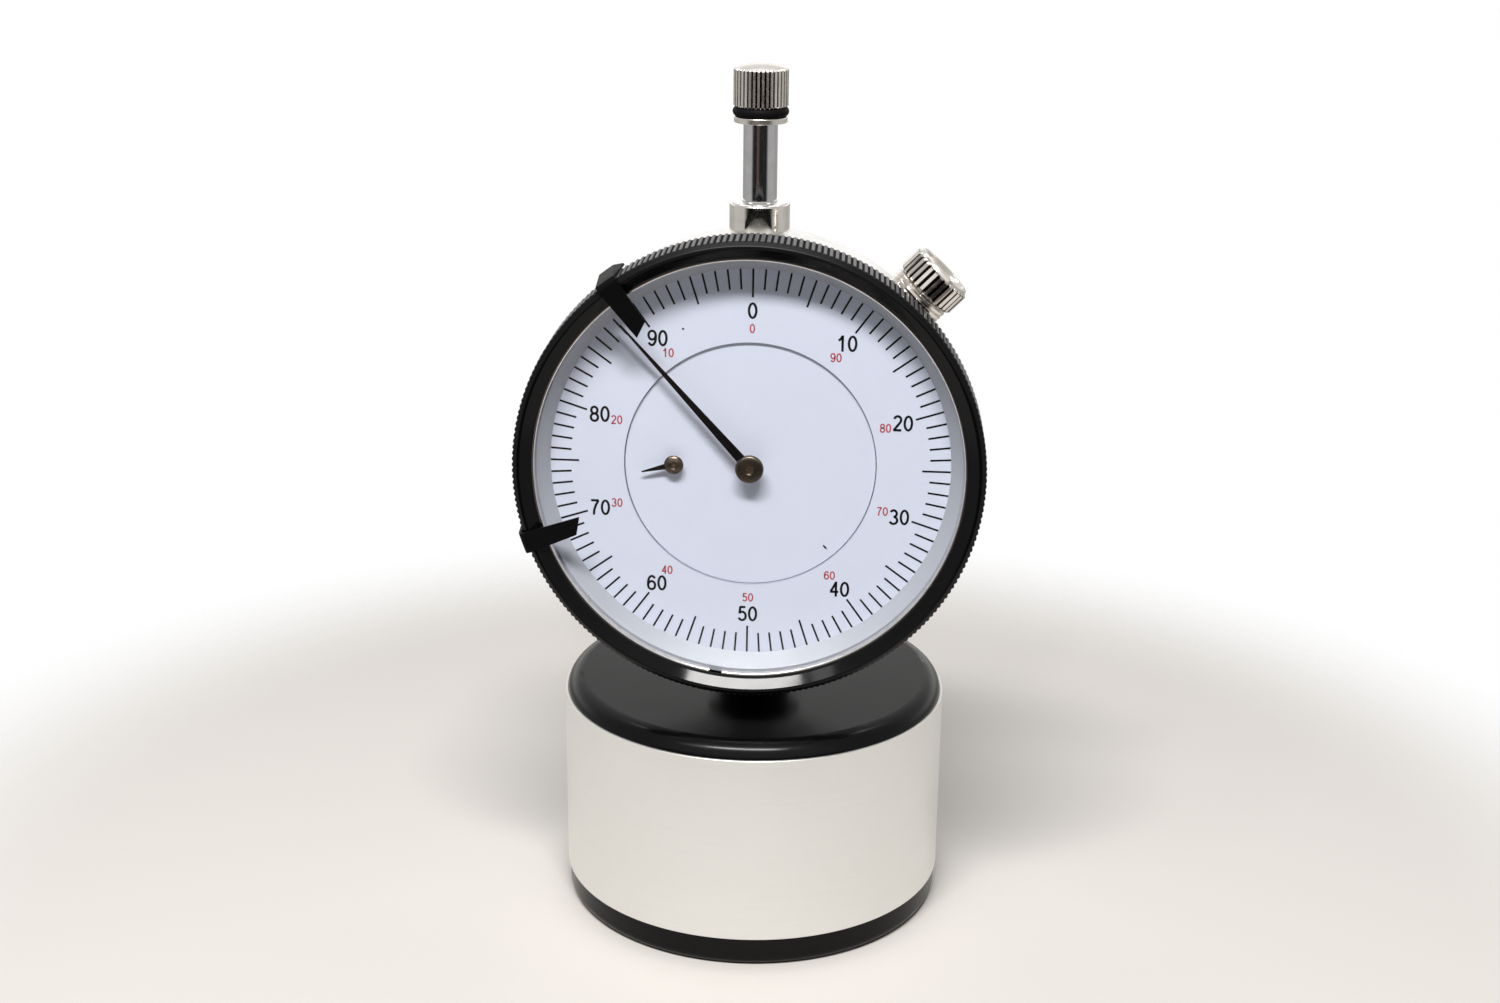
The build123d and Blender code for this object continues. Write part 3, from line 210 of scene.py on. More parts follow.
path = add_node(room, "ShaderNodeLightPath")
lighting = sum_of(room, "GREATER_THAN", path.outputs["Diffuse Depth"], 0.5)
through = path.outputs["Is Transmission Ray"]
backwards = sum_of(room, "GREATER_THAN", axes.outputs["Y"], 0.0)
through_backwards = sum_of(room, "MULTIPLY", through, backwards)
seen_plainly = sum_of(room, "MAXIMUM", path.outputs["Is Camera Ray"], through_backwards)
mirrored = sum_of(room, "MAXIMUM", path.outputs["Is Glossy Ray"], through)
visible = sum_of(room, "MAXIMUM", seen_plainly, mirrored)
shown = blended(room, seen_plainly, room_colour(room, *axes.outputs), (1.0, 1.0, 1.0))
colour = blended(room, lighting, shown, SOFT_LIGHT)
amount = add_node(room, "ShaderNodeMapRange", {"From Min": 0.0, "From Max": 1.0})
room.links.new(lighting, amount.inputs["Value"])
room.links.new(visible, amount.inputs["To Min"])
amount.inputs["To Max"].default_value = SOFT_LIGHT_STRENGTH
background = add_node(room, "ShaderNodeBackground")
room.links.new(colour, background.inputs["Color"])
room.links.new(amount.outputs["Result"], background.inputs["Strength"])
room.links.new(background.outputs[0], add_node(room, "ShaderNodeOutputWorld").inputs["Surface"])
print("the room's world has", len(room.nodes), "nodes")

# %% [markdown]
# The photograph's highlights say where its lamps were. The bright patch on the lower bezel and the
# line along the base's shoulder both mirror a wide, low window about 55 degrees up, above the camera.
# A second, smaller one stands to its left, and a pale one behind the object draws the second line.
# Each is an area lamp that is placed by its azimuth, elevation and the angle that it fills.

# %% Lamps
LAMP_DISTANCE = 0.5


def soft_lamp(name, azimuth, elevation, wide, high, radiance, colour=(1.0, 1.0, 1.0)):
    """An area lamp that fills a given angle and looks as bright as its radiance."""
    data = bpy.data.lights.new(name, "AREA")
    data.shape = "RECTANGLE"
    data.size = LAMP_DISTANCE * radians(wide)
    data.size_y = LAMP_DISTANCE * radians(high)
    data.energy = radiance * data.size * data.size_y * pi
    data.color = colour
    lamp = bpy.data.objects.new(name, data)
    turn, tilt = radians(azimuth), radians(elevation)
    away = Vector((sin(turn) * cos(tilt), -cos(turn) * cos(tilt), sin(tilt)))
    lamp.location = Vector((0, 0, AXIS_Z * MM)) + away * LAMP_DISTANCE
    lamp.rotation_euler = away.to_track_quat("Z", "Y").to_euler()
    scene.collection.objects.link(lamp)
    return lamp


soft_lamp("window_above", -4, 54.5, 34, 6, 69.0, (1.0, 0.985, 0.97))
soft_lamp("window_left", -40, 47, 9, 8, 6.0)
soft_lamp("window_behind", 180, 66, 70, 9, 4.0)

# %% [markdown]
# The floor is a plain pale disc. Its rim fades out, so that it meets the white room without a line.
# The fade is a mask made from the distance to the middle, and it mixes in a Transparent shader.

# %% Floor
FLOOR_RADIUS = 150
FLOOR_FADE = (95, 146)
FLOOR_COLOUR = (0.695, 0.665, 0.63)


def pale_floor():
    """A disc under the object whose rim fades away."""
    bm = bmesh.new()
    bmesh.ops.create_circle(bm, cap_ends=True, radius=FLOOR_RADIUS * MM, segments=96)
    mesh = bpy.data.meshes.new("floor")
    bm.to_mesh(mesh)
    bm.free()
    floor = bpy.data.objects.new("floor", mesh)
    scene.collection.objects.link(floor)
    material = bpy.data.materials.new("pale_floor")
    material.use_nodes = True
    tree = material.node_tree
    shader = tree.nodes["Principled BSDF"]
    shader.inputs["Base Color"].default_value = (*FLOOR_COLOUR, 1.0)
    shader.inputs["Roughness"].default_value = 0.6
    shader.inputs["Specular IOR Level"].default_value = 0.2
    distance = add_node(tree, "ShaderNodeVectorMath", operation="LENGTH")
    tree.links.new(add_node(tree, "ShaderNodeTexCoord").outputs["Object"], distance.inputs[0])
    gone = ramp_between(tree, distance.outputs["Value"], FLOOR_FADE[0] * MM, FLOOR_FADE[1] * MM)
    below = add_node(tree, "ShaderNodeNewGeometry").outputs["Backfacing"]
    mix = add_node(tree, "ShaderNodeMixShader")
    tree.links.new(sum_of(tree, "MAXIMUM", gone, below), mix.inputs[0])
    tree.links.new(shader.outputs[0], mix.inputs[1])
    tree.links.new(add_node(tree, "ShaderNodeBsdfTransparent").outputs[0], mix.inputs[2])
    tree.links.new(mix.outputs[0], tree.nodes["Material Output"].inputs["Surface"])
    mesh.materials.append(material)
    return floor


pale_floor()
print("floor fades out between", FLOOR_FADE, "mm from the middle")

# %% [markdown]
# Each surface effect is a node group with named sockets, because most come back in several finishes:
# fine grain, rings left by a lathe tool, drawn streaks, sparse specks of dust and broad smudges. The
# streaks are only on the label, but are made the same way, so that every effect is used alike.
# A group only gives out values and normals; the shader and its plain numbers stay in the material.

# %% Node groups: how one is made


def new_group(name, numbers, outputs):
    """An empty shader node group with a Coordinates input, number inputs and typed outputs."""
    group = bpy.data.node_groups.new(name, "ShaderNodeTree")
    group.interface.new_socket("Coordinates", in_out="INPUT", socket_type="NodeSocketVector")
    for socket, value in numbers.items():
        made = group.interface.new_socket(socket, in_out="INPUT", socket_type="NodeSocketFloat")
        made.default_value = value
    for socket, kind in outputs.items():
        group.interface.new_socket(socket, in_out="OUTPUT", socket_type="NodeSocket" + kind)
    start = add_node(group, "NodeGroupInput")
    end = add_node(group, "NodeGroupOutput")
    return group, start.outputs, end.inputs


def bumped(tree, height, depth):
    """A normal from a height between 0 and 1 and how deep it goes, in millimetres."""
    bump = add_node(tree, "ShaderNodeBump", {"Strength": 1.0})
    tree.links.new(height, bump.inputs["Height"])
    tree.links.new(sum_of(tree, "MULTIPLY", depth, MM), bump.inputs["Distance"])
    return bump.outputs["Normal"]


# %% Node groups: fine grain, lathe rings and streaks


def make_fine_grain():
    """Even small bumps, as on paint, rubber or cast metal."""
    group, start, end = new_group(
        "fine_grain", {"Grain Size": 0.3, "Depth": 0.002}, {"Grain": "Float", "Normal": "Vector"}
    )
    noise = add_node(group, "ShaderNodeTexNoise", {"Detail": 3.0, "Roughness": 0.55})
    group.links.new(start["Coordinates"], noise.inputs["Vector"])
    group.links.new(sum_of(group, "DIVIDE", 1.0, start["Grain Size"]), noise.inputs["Scale"])
    group.links.new(noise.outputs["Fac"], end["Grain"])
    group.links.new(bumped(group, noise.outputs["Fac"], start["Depth"]), end["Normal"])
    return group


def make_lathe_rings():
    """Fine rings about the Z axis of the coordinates, on end faces and round walls alike."""
    group, start, end = new_group(
        "lathe_rings", {"Ring Width": 0.1, "Depth": 0.001}, {"Rings": "Float", "Normal": "Vector"}
    )
    axes = add_node(group, "ShaderNodeSeparateXYZ")
    group.links.new(start["Coordinates"], axes.inputs[0])
    flat = add_node(group, "ShaderNodeCombineXYZ")
    group.links.new(axes.outputs["X"], flat.inputs["X"])
    group.links.new(axes.outputs["Y"], flat.inputs["Y"])
    radius = add_node(group, "ShaderNodeVectorMath", operation="LENGTH")
    group.links.new(flat.outputs[0], radius.inputs[0])
    run = sum_of(group, "ADD", radius.outputs["Value"], axes.outputs["Z"])
    noise = add_node(group, "ShaderNodeTexNoise", {"Detail": 2.0, "Scale": 1.0}, noise_dimensions="1D")
    group.links.new(sum_of(group, "DIVIDE", run, start["Ring Width"]), noise.inputs["W"])
    group.links.new(noise.outputs["Fac"], end["Rings"])
    group.links.new(bumped(group, noise.outputs["Fac"], start["Depth"]), end["Normal"])
    return group


def make_streaks():
    """Short drawn lines along X of the coordinates."""
    group, start, end = new_group(
        "streaks",
        {"Length": 6.0, "Width": 0.08, "Depth": 0.001},
        {"Streaks": "Float", "Normal": "Vector"},
    )
    axes = add_node(group, "ShaderNodeSeparateXYZ")
    group.links.new(start["Coordinates"], axes.inputs[0])
    stretched = add_node(group, "ShaderNodeCombineXYZ")
    group.links.new(sum_of(group, "DIVIDE", axes.outputs["X"], start["Length"]), stretched.inputs["X"])
    group.links.new(sum_of(group, "DIVIDE", axes.outputs["Y"], start["Length"]), stretched.inputs["Y"])
    group.links.new(sum_of(group, "DIVIDE", axes.outputs["Z"], start["Width"]), stretched.inputs["Z"])
    noise = add_node(group, "ShaderNodeTexNoise", {"Detail": 4.0, "Roughness": 0.6, "Scale": 1.0})
    group.links.new(stretched.outputs[0], noise.inputs["Vector"])
    group.links.new(noise.outputs["Fac"], end["Streaks"])
    group.links.new(bumped(group, noise.outputs["Fac"], start["Depth"]), end["Normal"])
    return group


# %% [markdown]
# Dust and smudges aren't surface relief but changes of colour and gloss. Specks come from Voronoi
# cells: a few cells are picked by their random colour, and only the middle of each one shows. Smudges
# are soft noise stretched between two values, which suits a roughness that wanders a little.

# %% Node groups: specks and smudges


def make_specks():
    """Sparse round specks: one cell in so many holds a speck of about the given size."""
    group, start, end = new_group(
        "specks", {"Spacing": 2.0, "Size": 0.08, "Share": 0.2}, {"Mask": "Float"}
    )
    cells = add_node(group, "ShaderNodeTexVoronoi", {"Scale": 1.0, "Randomness": 1.0})
    spread = add_node(group, "ShaderNodeVectorMath", operation="SCALE")
    group.links.new(start["Coordinates"], spread.inputs[0])
    group.links.new(sum_of(group, "DIVIDE", 1.0, start["Spacing"]), spread.inputs["Scale"])
    group.links.new(spread.outputs[0], cells.inputs["Vector"])
    pick = add_node(group, "ShaderNodeSeparateColor")
    group.links.new(cells.outputs["Color"], pick.inputs[0])
    size = sum_of(group, "DIVIDE", start["Size"], start["Spacing"])
    size = sum_of(group, "MULTIPLY", size, pick.outputs["Green"])
    near = sum_of(group, "LESS_THAN", cells.outputs["Distance"], size)
    chosen = sum_of(group, "LESS_THAN", pick.outputs["Red"], start["Share"])
    group.links.new(sum_of(group, "MULTIPLY", near, chosen), end["Mask"])
    return group


def make_smudges():
    """Broad soft patches, between the two values."""
    group, start, end = new_group(
        "smudges", {"Patch Size": 6.0, "Least": 0.1, "Most": 0.2}, {"Value": "Float"}
    )
    noise = add_node(group, "ShaderNodeTexNoise", {"Detail": 4.0, "Roughness": 0.6, "Distortion": 0.4})
    group.links.new(start["Coordinates"], noise.inputs["Vector"])
    group.links.new(sum_of(group, "DIVIDE", 1.0, start["Patch Size"]), noise.inputs["Scale"])
    node = add_node(group, "ShaderNodeMapRange", {"From Min": 0.3, "From Max": 0.7})
    group.links.new(noise.outputs["Fac"], node.inputs["Value"])
    group.links.new(start["Least"], node.inputs["To Min"])
    group.links.new(start["Most"], node.inputs["To Max"])
    group.links.new(node.outputs["Result"], end["Value"])
    return group


GRAIN = make_fine_grain()
RINGS = make_lathe_rings()
STREAKS = make_streaks()
SPECKS = make_specks()
SMUDGES = make_smudges()
print("node groups:", [group.name for group in bpy.data.node_groups])

# %% [markdown]
# A finish starts from one Principled shader. Numbers that are the same all over sit on its sockets.
# Coordinates come from the object, in millimetres, turned so that Z runs along the piece's axis.

# %% How a finish is made
UPRIGHT_AXIS = ((0.0, 0.0, 0.0), (0.0, 0.0, 0.0))
DIAL_AXIS = ((0.0, 0.0, AXIS_Z), (pi / 2, 0.0, 0.0))


class Finish:
    """A material under construction: its tree, its shader and its coordinates in millimetres."""

    def __init__(self, name, axis, numbers):
        """Numbers are plain values, or colours as tuples, for the shader's named sockets."""
        self.material = bpy.data.materials.new(name)
        self.material.use_nodes = True
        self.tree = self.material.node_tree
        self.shader = self.tree.nodes["Principled BSDF"]
        for socket, value in numbers.items():
            colour = isinstance(value, tuple)
            self.shader.inputs[socket].default_value = (*value, 1.0) if colour else value
        centre, turn = axis
        place = {"Location": Vector(centre) * MM, "Rotation": turn, "Scale": (MM, MM, MM)}
        mapping = add_node(self.tree, "ShaderNodeMapping", place, vector_type="TEXTURE")
        self.tree.links.new(
            add_node(self.tree, "ShaderNodeTexCoord").outputs["Object"], mapping.inputs["Vector"]
        )
        self.coordinates = mapping.outputs["Vector"]

    def effect(self, group, **numbers):
        """Places a node group with its own values; Grain_Size stands for the socket Grain Size."""
        node = add_node(self.tree, "ShaderNodeGroup", node_tree=group)
        self.tree.links.new(self.coordinates, node.inputs["Coordinates"])
        for socket, value in numbers.items():
            node.inputs[socket.replace("_", " ")].default_value = value
        return node.outputs

    def distance_from_axis(self):
        """How far a point is from the finish's axis, in millimetres."""
        flat = add_node(self.tree, "ShaderNodeVectorMath", {1: (1.0, 1.0, 0.0)}, operation="MULTIPLY")
        self.tree.links.new(self.coordinates, flat.inputs[0])
        length = add_node(self.tree, "ShaderNodeVectorMath", operation="LENGTH")
        self.tree.links.new(flat.outputs["Vector"], length.inputs[0])
        return length.outputs["Value"]

    def in_grooves(self, tip, low, high):
        """A mask: 1 between the ribs of a rim, from low to high on the axis, and 0 on their tops."""
        tree = self.tree
        axes = add_node(tree, "ShaderNodeSeparateXYZ")
        tree.links.new(self.coordinates, axes.inputs[0])
        top = ramp_between(tree, self.distance_from_axis(), tip - 0.14, tip - 0.03)
        after = ramp_between(tree, axes.outputs["Z"], low, low + 0.06)
        before = ramp_between(tree, axes.outputs["Z"], high + 0.04, high - 0.02)
        along = sum_of(tree, "MULTIPLY", after, before)
        return sum_of(tree, "MULTIPLY", sum_of(tree, "SUBTRACT", 1.0, top), along)

    def use(self, socket, source):
        """Feeds one of the shader's sockets."""
        self.tree.links.new(source, self.shader.inputs[socket])

    def mix(self, share, first, second):
        """A blend of two colours in this finish's tree."""
        return blended(self.tree, share, first, second)


# %% [markdown]
# The base, the stem and the bezel are black. The base is sprayed paint with a faint ripple and a few
# white specks. The bezel's face is glossier and its ribbed rim is matt, and the clips and hands are
# half matt. All are near black, so what tells them apart is how sharp their reflections are.

# %% Black finishes
PALE_DUST = (0.45, 0.45, 0.44)
# The rib tops are paler: partly wear, partly a painted sheen.
WORN_RIB_AND_SHEEN = (0.05, 0.05, 0.052)
# How many times paler the paint is where hands have worn it.
HANDLED = 1.6
RIM_MATT, GROOVE_MATT, DUST_MATT = 0.33, 0.95, 0.8


def black_finish(name, axis, colour, index, roughness, ripple, specks, rim=None):
    """Black paint with uneven gloss, a ripple and pale specks; a ribbed rim is matt, its rib tops paler from
    wear and a painted sheen.
    """
    finish = Finish(name, axis, {"IOR": index})
    tree = finish.tree
    worn = finish.effect(SMUDGES, Patch_Size=5.0, Least=0.0, Most=0.5)["Value"]
    shade = finish.mix(worn, colour, tuple(HANDLED * part for part in colour))
    gloss = finish.effect(SMUDGES, Patch_Size=3.0, Least=roughness[0], Most=roughness[1])["Value"]
    if rim:
        starts, tip, low, high = rim
        away = finish.distance_from_axis()
        matt = ramp_between(tree, away, starts, starts + 0.15)
        groove = sum_of(tree, "MULTIPLY", matt, finish.in_grooves(tip, low, high))
        gloss = sum_of(tree, "MAXIMUM", gloss, sum_of(tree, "MULTIPLY", matt, RIM_MATT))
        gloss = sum_of(tree, "MAXIMUM", gloss, sum_of(tree, "MULTIPLY", groove, GROOVE_MATT))
        # Paler rib tops: wear, and a painted sheen.
        shade = finish.mix(ramp_between(tree, away, tip - 0.1, tip - 0.03), shade, WORN_RIB_AND_SHEEN)
    dust = finish.effect(SPECKS, Spacing=2.4, Size=0.15, Share=specks)["Mask"]
    finish.use("Base Color", finish.mix(dust, shade, PALE_DUST))
    finish.use("Roughness", sum_of(tree, "MAXIMUM", gloss, sum_of(tree, "MULTIPLY", dust, DUST_MATT)))
    finish.use("Normal", finish.effect(GRAIN, Grain_Size=0.5, Depth=ripple)["Normal"])
    return finish.material


BASE_BLACK = black_finish(
    "base_black_paint", UPRIGHT_AXIS, (0.002, 0.002, 0.0023), 1.25, (0.17, 0.23), 0.0006, 0.04
)
bezel_low, bezel_high = limits("bezel")
BEZEL_TIP = bezel_high.x
BEZEL_FRONT, BEZEL_BACK = bezel_low.y, bezel_high.y
RIB_FRONT, RIB_BACK = BEZEL_FRONT + 0.5, BEZEL_FRONT + 5.5
MATT_FROM = 28.05
# Along the dial's axis the finish counts towards the reader, so the ribs' places change sign.
BEZEL_RIM = (MATT_FROM, BEZEL_TIP, -RIB_BACK, -RIB_FRONT)
BEZEL_BLACK = black_finish(
    "bezel_black", DIAL_AXIS, (0.002, 0.002, 0.0024), 1.233, (0.07, 0.11), 0.0003, 0.03, BEZEL_RIM
)
CLIP_BLACK = black_finish("clip_black", DIAL_AXIS, (0.003, 0.003, 0.0034), 1.13, (0.4, 0.5), 0.001, 0.04)
HAND_BLACK = black_finish("hand_black", DIAL_AXIS, (0.003, 0.003, 0.0035), 1.15, (0.25, 0.35), 0.0005, 0.0)
print("black finishes:", BASE_BLACK.name, BEZEL_BLACK.name, CLIP_BLACK.name, HAND_BLACK.name)

# %% [markdown]
# Turned and plated metals share one recipe: a metal colour, rings from the lathe tool that only show
# in the highlight, and smudges in the gloss. A knurl's grooves are also painted darker, as painted
# shade. The case's plating is bright, the collar and the rod are polished, the plates
# inside are plain, and the hubs on the hands' arbors are browned.

# %% Turned metals
# Painted shade: the dark colour painted into the grooves of a knurl.
PAINTED_GROOVE_SHADE = (0.09, 0.075, 0.065)
# The share of a metal's brightness that is left under a stain.
STAINED = 0.86


def turned_metal(name, axis, colour, roughness, ring_width, ring_depth, knurl=None):
    """Metal with rings about its axis, uneven gloss and painted shade in the grooves of a knurl."""
    finish = Finish(name, axis, {"Metallic": 1.0})
    rings = finish.effect(RINGS, Ring_Width=ring_width, Depth=ring_depth)
    stain = finish.effect(SMUDGES, Patch_Size=1.6, Least=0.0, Most=1.0)["Value"]
    shade = finish.mix(stain, colour, tuple(STAINED * part for part in colour))
    if knurl:
        # Painted shade darkens the knurl's grooves.
        shade = finish.mix(finish.in_grooves(*knurl), shade, PAINTED_GROOVE_SHADE)
    finish.use("Base Color", shade)
    least, most = roughness
    finish.use("Roughness", finish.effect(SMUDGES, Patch_Size=0.8, Least=least, Most=most)["Value"])
    finish.use("Normal", rings["Normal"])
    return finish.material


LOCK_BEARING = radians(44.45)
LOCK_Y = -10.0
LOCK_AXIS = ((0.0, LOCK_Y, AXIS_Z), (0.0, LOCK_BEARING, 0.0))
NICKEL_COLOUR = (0.84, 0.80, 0.75)
cap_low, cap_high = limits("spindle_cap")
CAP_KNURL = (cap_high.x, cap_low.z + 1.99, cap_high.z - 0.72)
KNOB_KNURL = (4.1, 29.8, 32.55)
CAP_NICKEL = turned_metal("cap_nickel", UPRIGHT_AXIS, NICKEL_COLOUR, (0.2, 0.3), 0.06, 0.0006, CAP_KNURL)
COLLAR_NICKEL = turned_metal("collar_nickel", UPRIGHT_AXIS, (0.90, 0.87, 0.82), (0.04, 0.08), 0.06, 0.0002)
LOCK_NICKEL = turned_metal("lock_nickel", LOCK_AXIS, NICKEL_COLOUR, (0.10, 0.2), 0.06, 0.0006, KNOB_KNURL)
CASE_PLATING = turned_metal("case_plating", DIAL_AXIS, (0.73, 0.725, 0.72), (0.14, 0.24), 0.12, 0.0005)
POLISHED = turned_metal("polished_steel", UPRIGHT_AXIS, (0.66, 0.66, 0.67), (0.07, 0.14), 0.05, 0.0003)
BRIGHT_RING = turned_metal("bright_ring", DIAL_AXIS, (0.80, 0.79, 0.78), (0.12, 0.2), 0.05, 0.0003)
PLAIN_STEEL = turned_metal("plain_steel", UPRIGHT_AXIS, (0.50, 0.50, 0.51), (0.25, 0.38), 0.1, 0.001)
COVER_STEEL = turned_metal("cover_steel", DIAL_AXIS, (0.66, 0.66, 0.66), (0.22, 0.32), 0.16, 0.0015)
BRASS = turned_metal("movement_brass", DIAL_AXIS, (0.72, 0.53, 0.25), (0.22, 0.32), 0.12, 0.001)
BLACK_STEEL = turned_metal("black_steel", UPRIGHT_AXIS, (0.05, 0.05, 0.052), (0.3, 0.45), 0.1, 0.001)
HUB_BRONZE = turned_metal("hub_bronze", DIAL_AXIS, (0.105, 0.084, 0.066), (0.27, 0.34), 0.1, 0.0006)
ARBOR_STEEL = turned_metal("arbor_steel", DIAL_AXIS, (0.40, 0.33, 0.26), (0.2, 0.3), 0.05, 0.001)
print("materials so far:", len(bpy.data.materials))

# %% [markdown]
# The label is a band of satin foil. It is brushed round the base, so its streaks run level, and it
# shows the pale floor as a soft warm glow. The foil is bare apart from those streaks and a few dark
# specks of wear. Most of its colour is metal, with a little paint in it, which keeps it from going grey.

# %% Label foil
FOIL_DULL, FOIL_BRIGHT = (0.80, 0.80, 0.775), (0.83, 0.83, 0.805)
FOIL_WEAR = (0.06, 0.055, 0.05)


def label_foil():
    """Brushed foil with level streaks and a few dark specks."""
    finish = Finish("label_foil", UPRIGHT_AXIS, {"Metallic": 0.82})
    streaks = finish.effect(STREAKS, Length=9.0, Width=0.07, Depth=0.0012)
    tone = ramp_between(finish.tree, streaks["Streaks"], 0.3, 0.7, smooth=False)
    shade = finish.mix(tone, FOIL_DULL, FOIL_BRIGHT)
    specks = finish.effect(SPECKS, Spacing=2.2, Size=0.09, Share=0.035)["Mask"]
    finish.use("Base Color", finish.mix(specks, shade, FOIL_WEAR))
    finish.use("Roughness", finish.effect(SMUDGES, Patch_Size=4.0, Least=0.32, Most=0.44)["Value"])
    finish.use("Normal", streaks["Normal"])
    return finish.material


LABEL_FOIL = label_foil()
print("label finish:", LABEL_FOIL.name)

# %% [markdown]
# The dial is sprayed a cool white and printed in black and red. A thin grey band is painted at the edge
# of the hole in its outer ring, as painted shade in the gap between the ring and the disc, and it draws the
# thin circle on the dial.
# The sloped ring is the same paint, a little greyer. Ink has a trace of unevenness, so it isn't dead.

# %% Dial, ink and rubber
# Painted shade: the grey of the band round the hole in the dial's outer ring.
PAINTED_GAP_SHADE = (0.40, 0.42, 0.50)
DIAL_HOLE = 15.5


def painted(name, axis, colour, roughness, grain_size, depth, unevenness=0.04, index=1.45, shaded_edge=None):
    """Half-matt paint, ink or rubber. A thin band at a distance from the axis is painted grey, as painted
    shade.
    """
    finish = Finish(name, axis, {"IOR": index})
    patches = finish.effect(SMUDGES, Patch_Size=4.0, Least=0.0, Most=1.0)["Value"]
    darker = tuple((1 - unevenness) * part for part in colour)
    shade = finish.mix(patches, colour, darker)
    if shaded_edge:
        # Painted shade in the gap between the dial's ring and disc: a grey band at the hole's edge.
        away = finish.distance_from_axis()
        outside = ramp_between(finish.tree, away, shaded_edge - 0.06, shaded_edge - 0.04)
        inside = ramp_between(finish.tree, away, shaded_edge + 0.07, shaded_edge + 0.01)
        shade = finish.mix(sum_of(finish.tree, "MULTIPLY", outside, inside), shade, PAINTED_GAP_SHADE)
    finish.use("Base Color", shade)
    least, most = roughness
    finish.use("Roughness", finish.effect(SMUDGES, Patch_Size=1.5, Least=least, Most=most)["Value"])
    finish.use("Normal", finish.effect(GRAIN, Grain_Size=grain_size, Depth=depth)["Normal"])
    return finish.material


DIAL_WHITE = painted(
    "dial_white", DIAL_AXIS, (0.717, 0.749, 0.89), (0.45, 0.6), 0.15, 0.0008, 0.02, shaded_edge=DIAL_HOLE
)
REHAUT_GREY = painted("rehaut_grey", DIAL_AXIS, (0.42, 0.435, 0.485), (0.3, 0.4), 0.2, 0.0008)
INK_BLACK = painted("ink_black", DIAL_AXIS, (0.006, 0.006, 0.008), (0.4, 0.55), 0.1, 0.0005, 0.3, 1.25)
INK_RED = painted("ink_red", DIAL_AXIS, (0.50, 0.07, 0.085), (0.4, 0.55), 0.1, 0.0005, 0.15, 1.3)
RUBBER = painted("black_rubber", UPRIGHT_AXIS, (0.008, 0.0075, 0.0075), (0.42, 0.6), 0.25, 0.003, 0.3, 1.1)
print("dial finishes:", DIAL_WHITE.name, REHAUT_GREY.name, INK_BLACK.name, INK_RED.name, RUBBER.name)

# %% [markdown]
# The crystal is clear glass. Cycles doesn't send lamp light through a refracting shader, so the rays
# that light the dial below meet a Transparent shader instead, and every other ray meets the glass.

# %% Crystal glass
GLASS_TINT = (0.985, 1.0, 0.995)


def crystal_glass():
    """Clear glass that lets the lamps light the dial below."""
    numbers = {"Base Color": GLASS_TINT, "Transmission Weight": 1.0, "IOR": 1.49}
    finish = Finish("crystal_glass", DIAL_AXIS, numbers)
    tree, shader = finish.tree, finish.shader
    finish.use("Roughness", finish.effect(SMUDGES, Patch_Size=7.0, Least=0.0, Most=0.015)["Value"])
    clear = add_node(tree, "ShaderNodeBsdfTransparent")
    mix = add_node(tree, "ShaderNodeMixShader")
    ray = add_node(tree, "ShaderNodeLightPath").outputs
    tree.links.new(sum_of(tree, "MAXIMUM", ray["Is Shadow Ray"], ray["Is Diffuse Ray"]), mix.inputs[0])
    tree.links.new(shader.outputs[0], mix.inputs[1])
    tree.links.new(clear.outputs[0], mix.inputs[2])
    tree.links.new(mix.outputs[0], tree.nodes["Material Output"].inputs["Surface"])
    return finish.material


CRYSTAL_GLASS = crystal_glass()
print("materials:", len(bpy.data.materials))

# %% [markdown]
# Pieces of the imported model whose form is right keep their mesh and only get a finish. Most are
# turned parts with true normals already. The list goes by finish, and covers the hidden movement too.

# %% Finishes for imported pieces
KEPT_PIECES = {
    BASE_BLACK: ["base_weight", "stem"],
    CASE_PLATING: ["case_body"],
    COVER_STEEL: ["back_cover"],
    PLAIN_STEEL: [
        "front_pillars",
        "bridge_pillars",
        "movement_screws",
        "rack_pinion",
        "guide_arm",
        "guide_rail",
        "spring_post",
        "return_spring",
        "hairspring",
        "hairspring_stud",
        "bezel_snap_ring",
        "bezel_clamp_shoe",
    ],
    POLISHED: ["spindle", "contact_point"],
    BRASS: [
        "movement_front_plate",
        "movement_main_plate",
        "pinion_bridge",
        "first_wheel",
        "counter_wheel",
    ],
    ARBOR_STEEL: ["centre_pinion", "counter_arbor"],
    BLACK_STEEL: ["base_set_screw"],
    REHAUT_GREY: ["rehaut"],
    DIAL_WHITE: ["dial_ring", "dial_centre"],
    CRYSTAL_GLASS: ["crystal"],
}


def dress(piece, material):
    """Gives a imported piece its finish."""
    piece.data.materials.clear()
    piece.data.materials.append(material)


for material, names in KEPT_PIECES.items():
    for name in names:
        dress(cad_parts[name], material)
print("packed pieces with a finish:", sum(len(names) for names in KEPT_PIECES.values()))

# %% [markdown]
# New pieces are spun like turned work. A section is drawn as one flat face of (radius, height)
# corners, the bevel operator rounds the corners that need it, and spin carries the outline round.
# Sizes are in millimetres until the last step, which scales the mesh and hangs it on its body.

# %% Tools for turned pieces
ROUND_STEPS = 192


def section(points, rounds):
    """A flat face in the XZ plane; rounds gives how far each rounded corner reaches."""
    bm = bmesh.new()
    corners = [bm.verts.new((x, 0.0, z)) for x, z in points]
    bm.faces.new(corners)
    for corner, reach in rounds.items():
        bmesh.ops.bevel(
            bm,
            geom=[corners[corner]],
            offset=reach,
            offset_type="OFFSET",
            segments=4,
            profile=0.5,
            affect="VERTICES",
            material=-1,
        )
    return bm


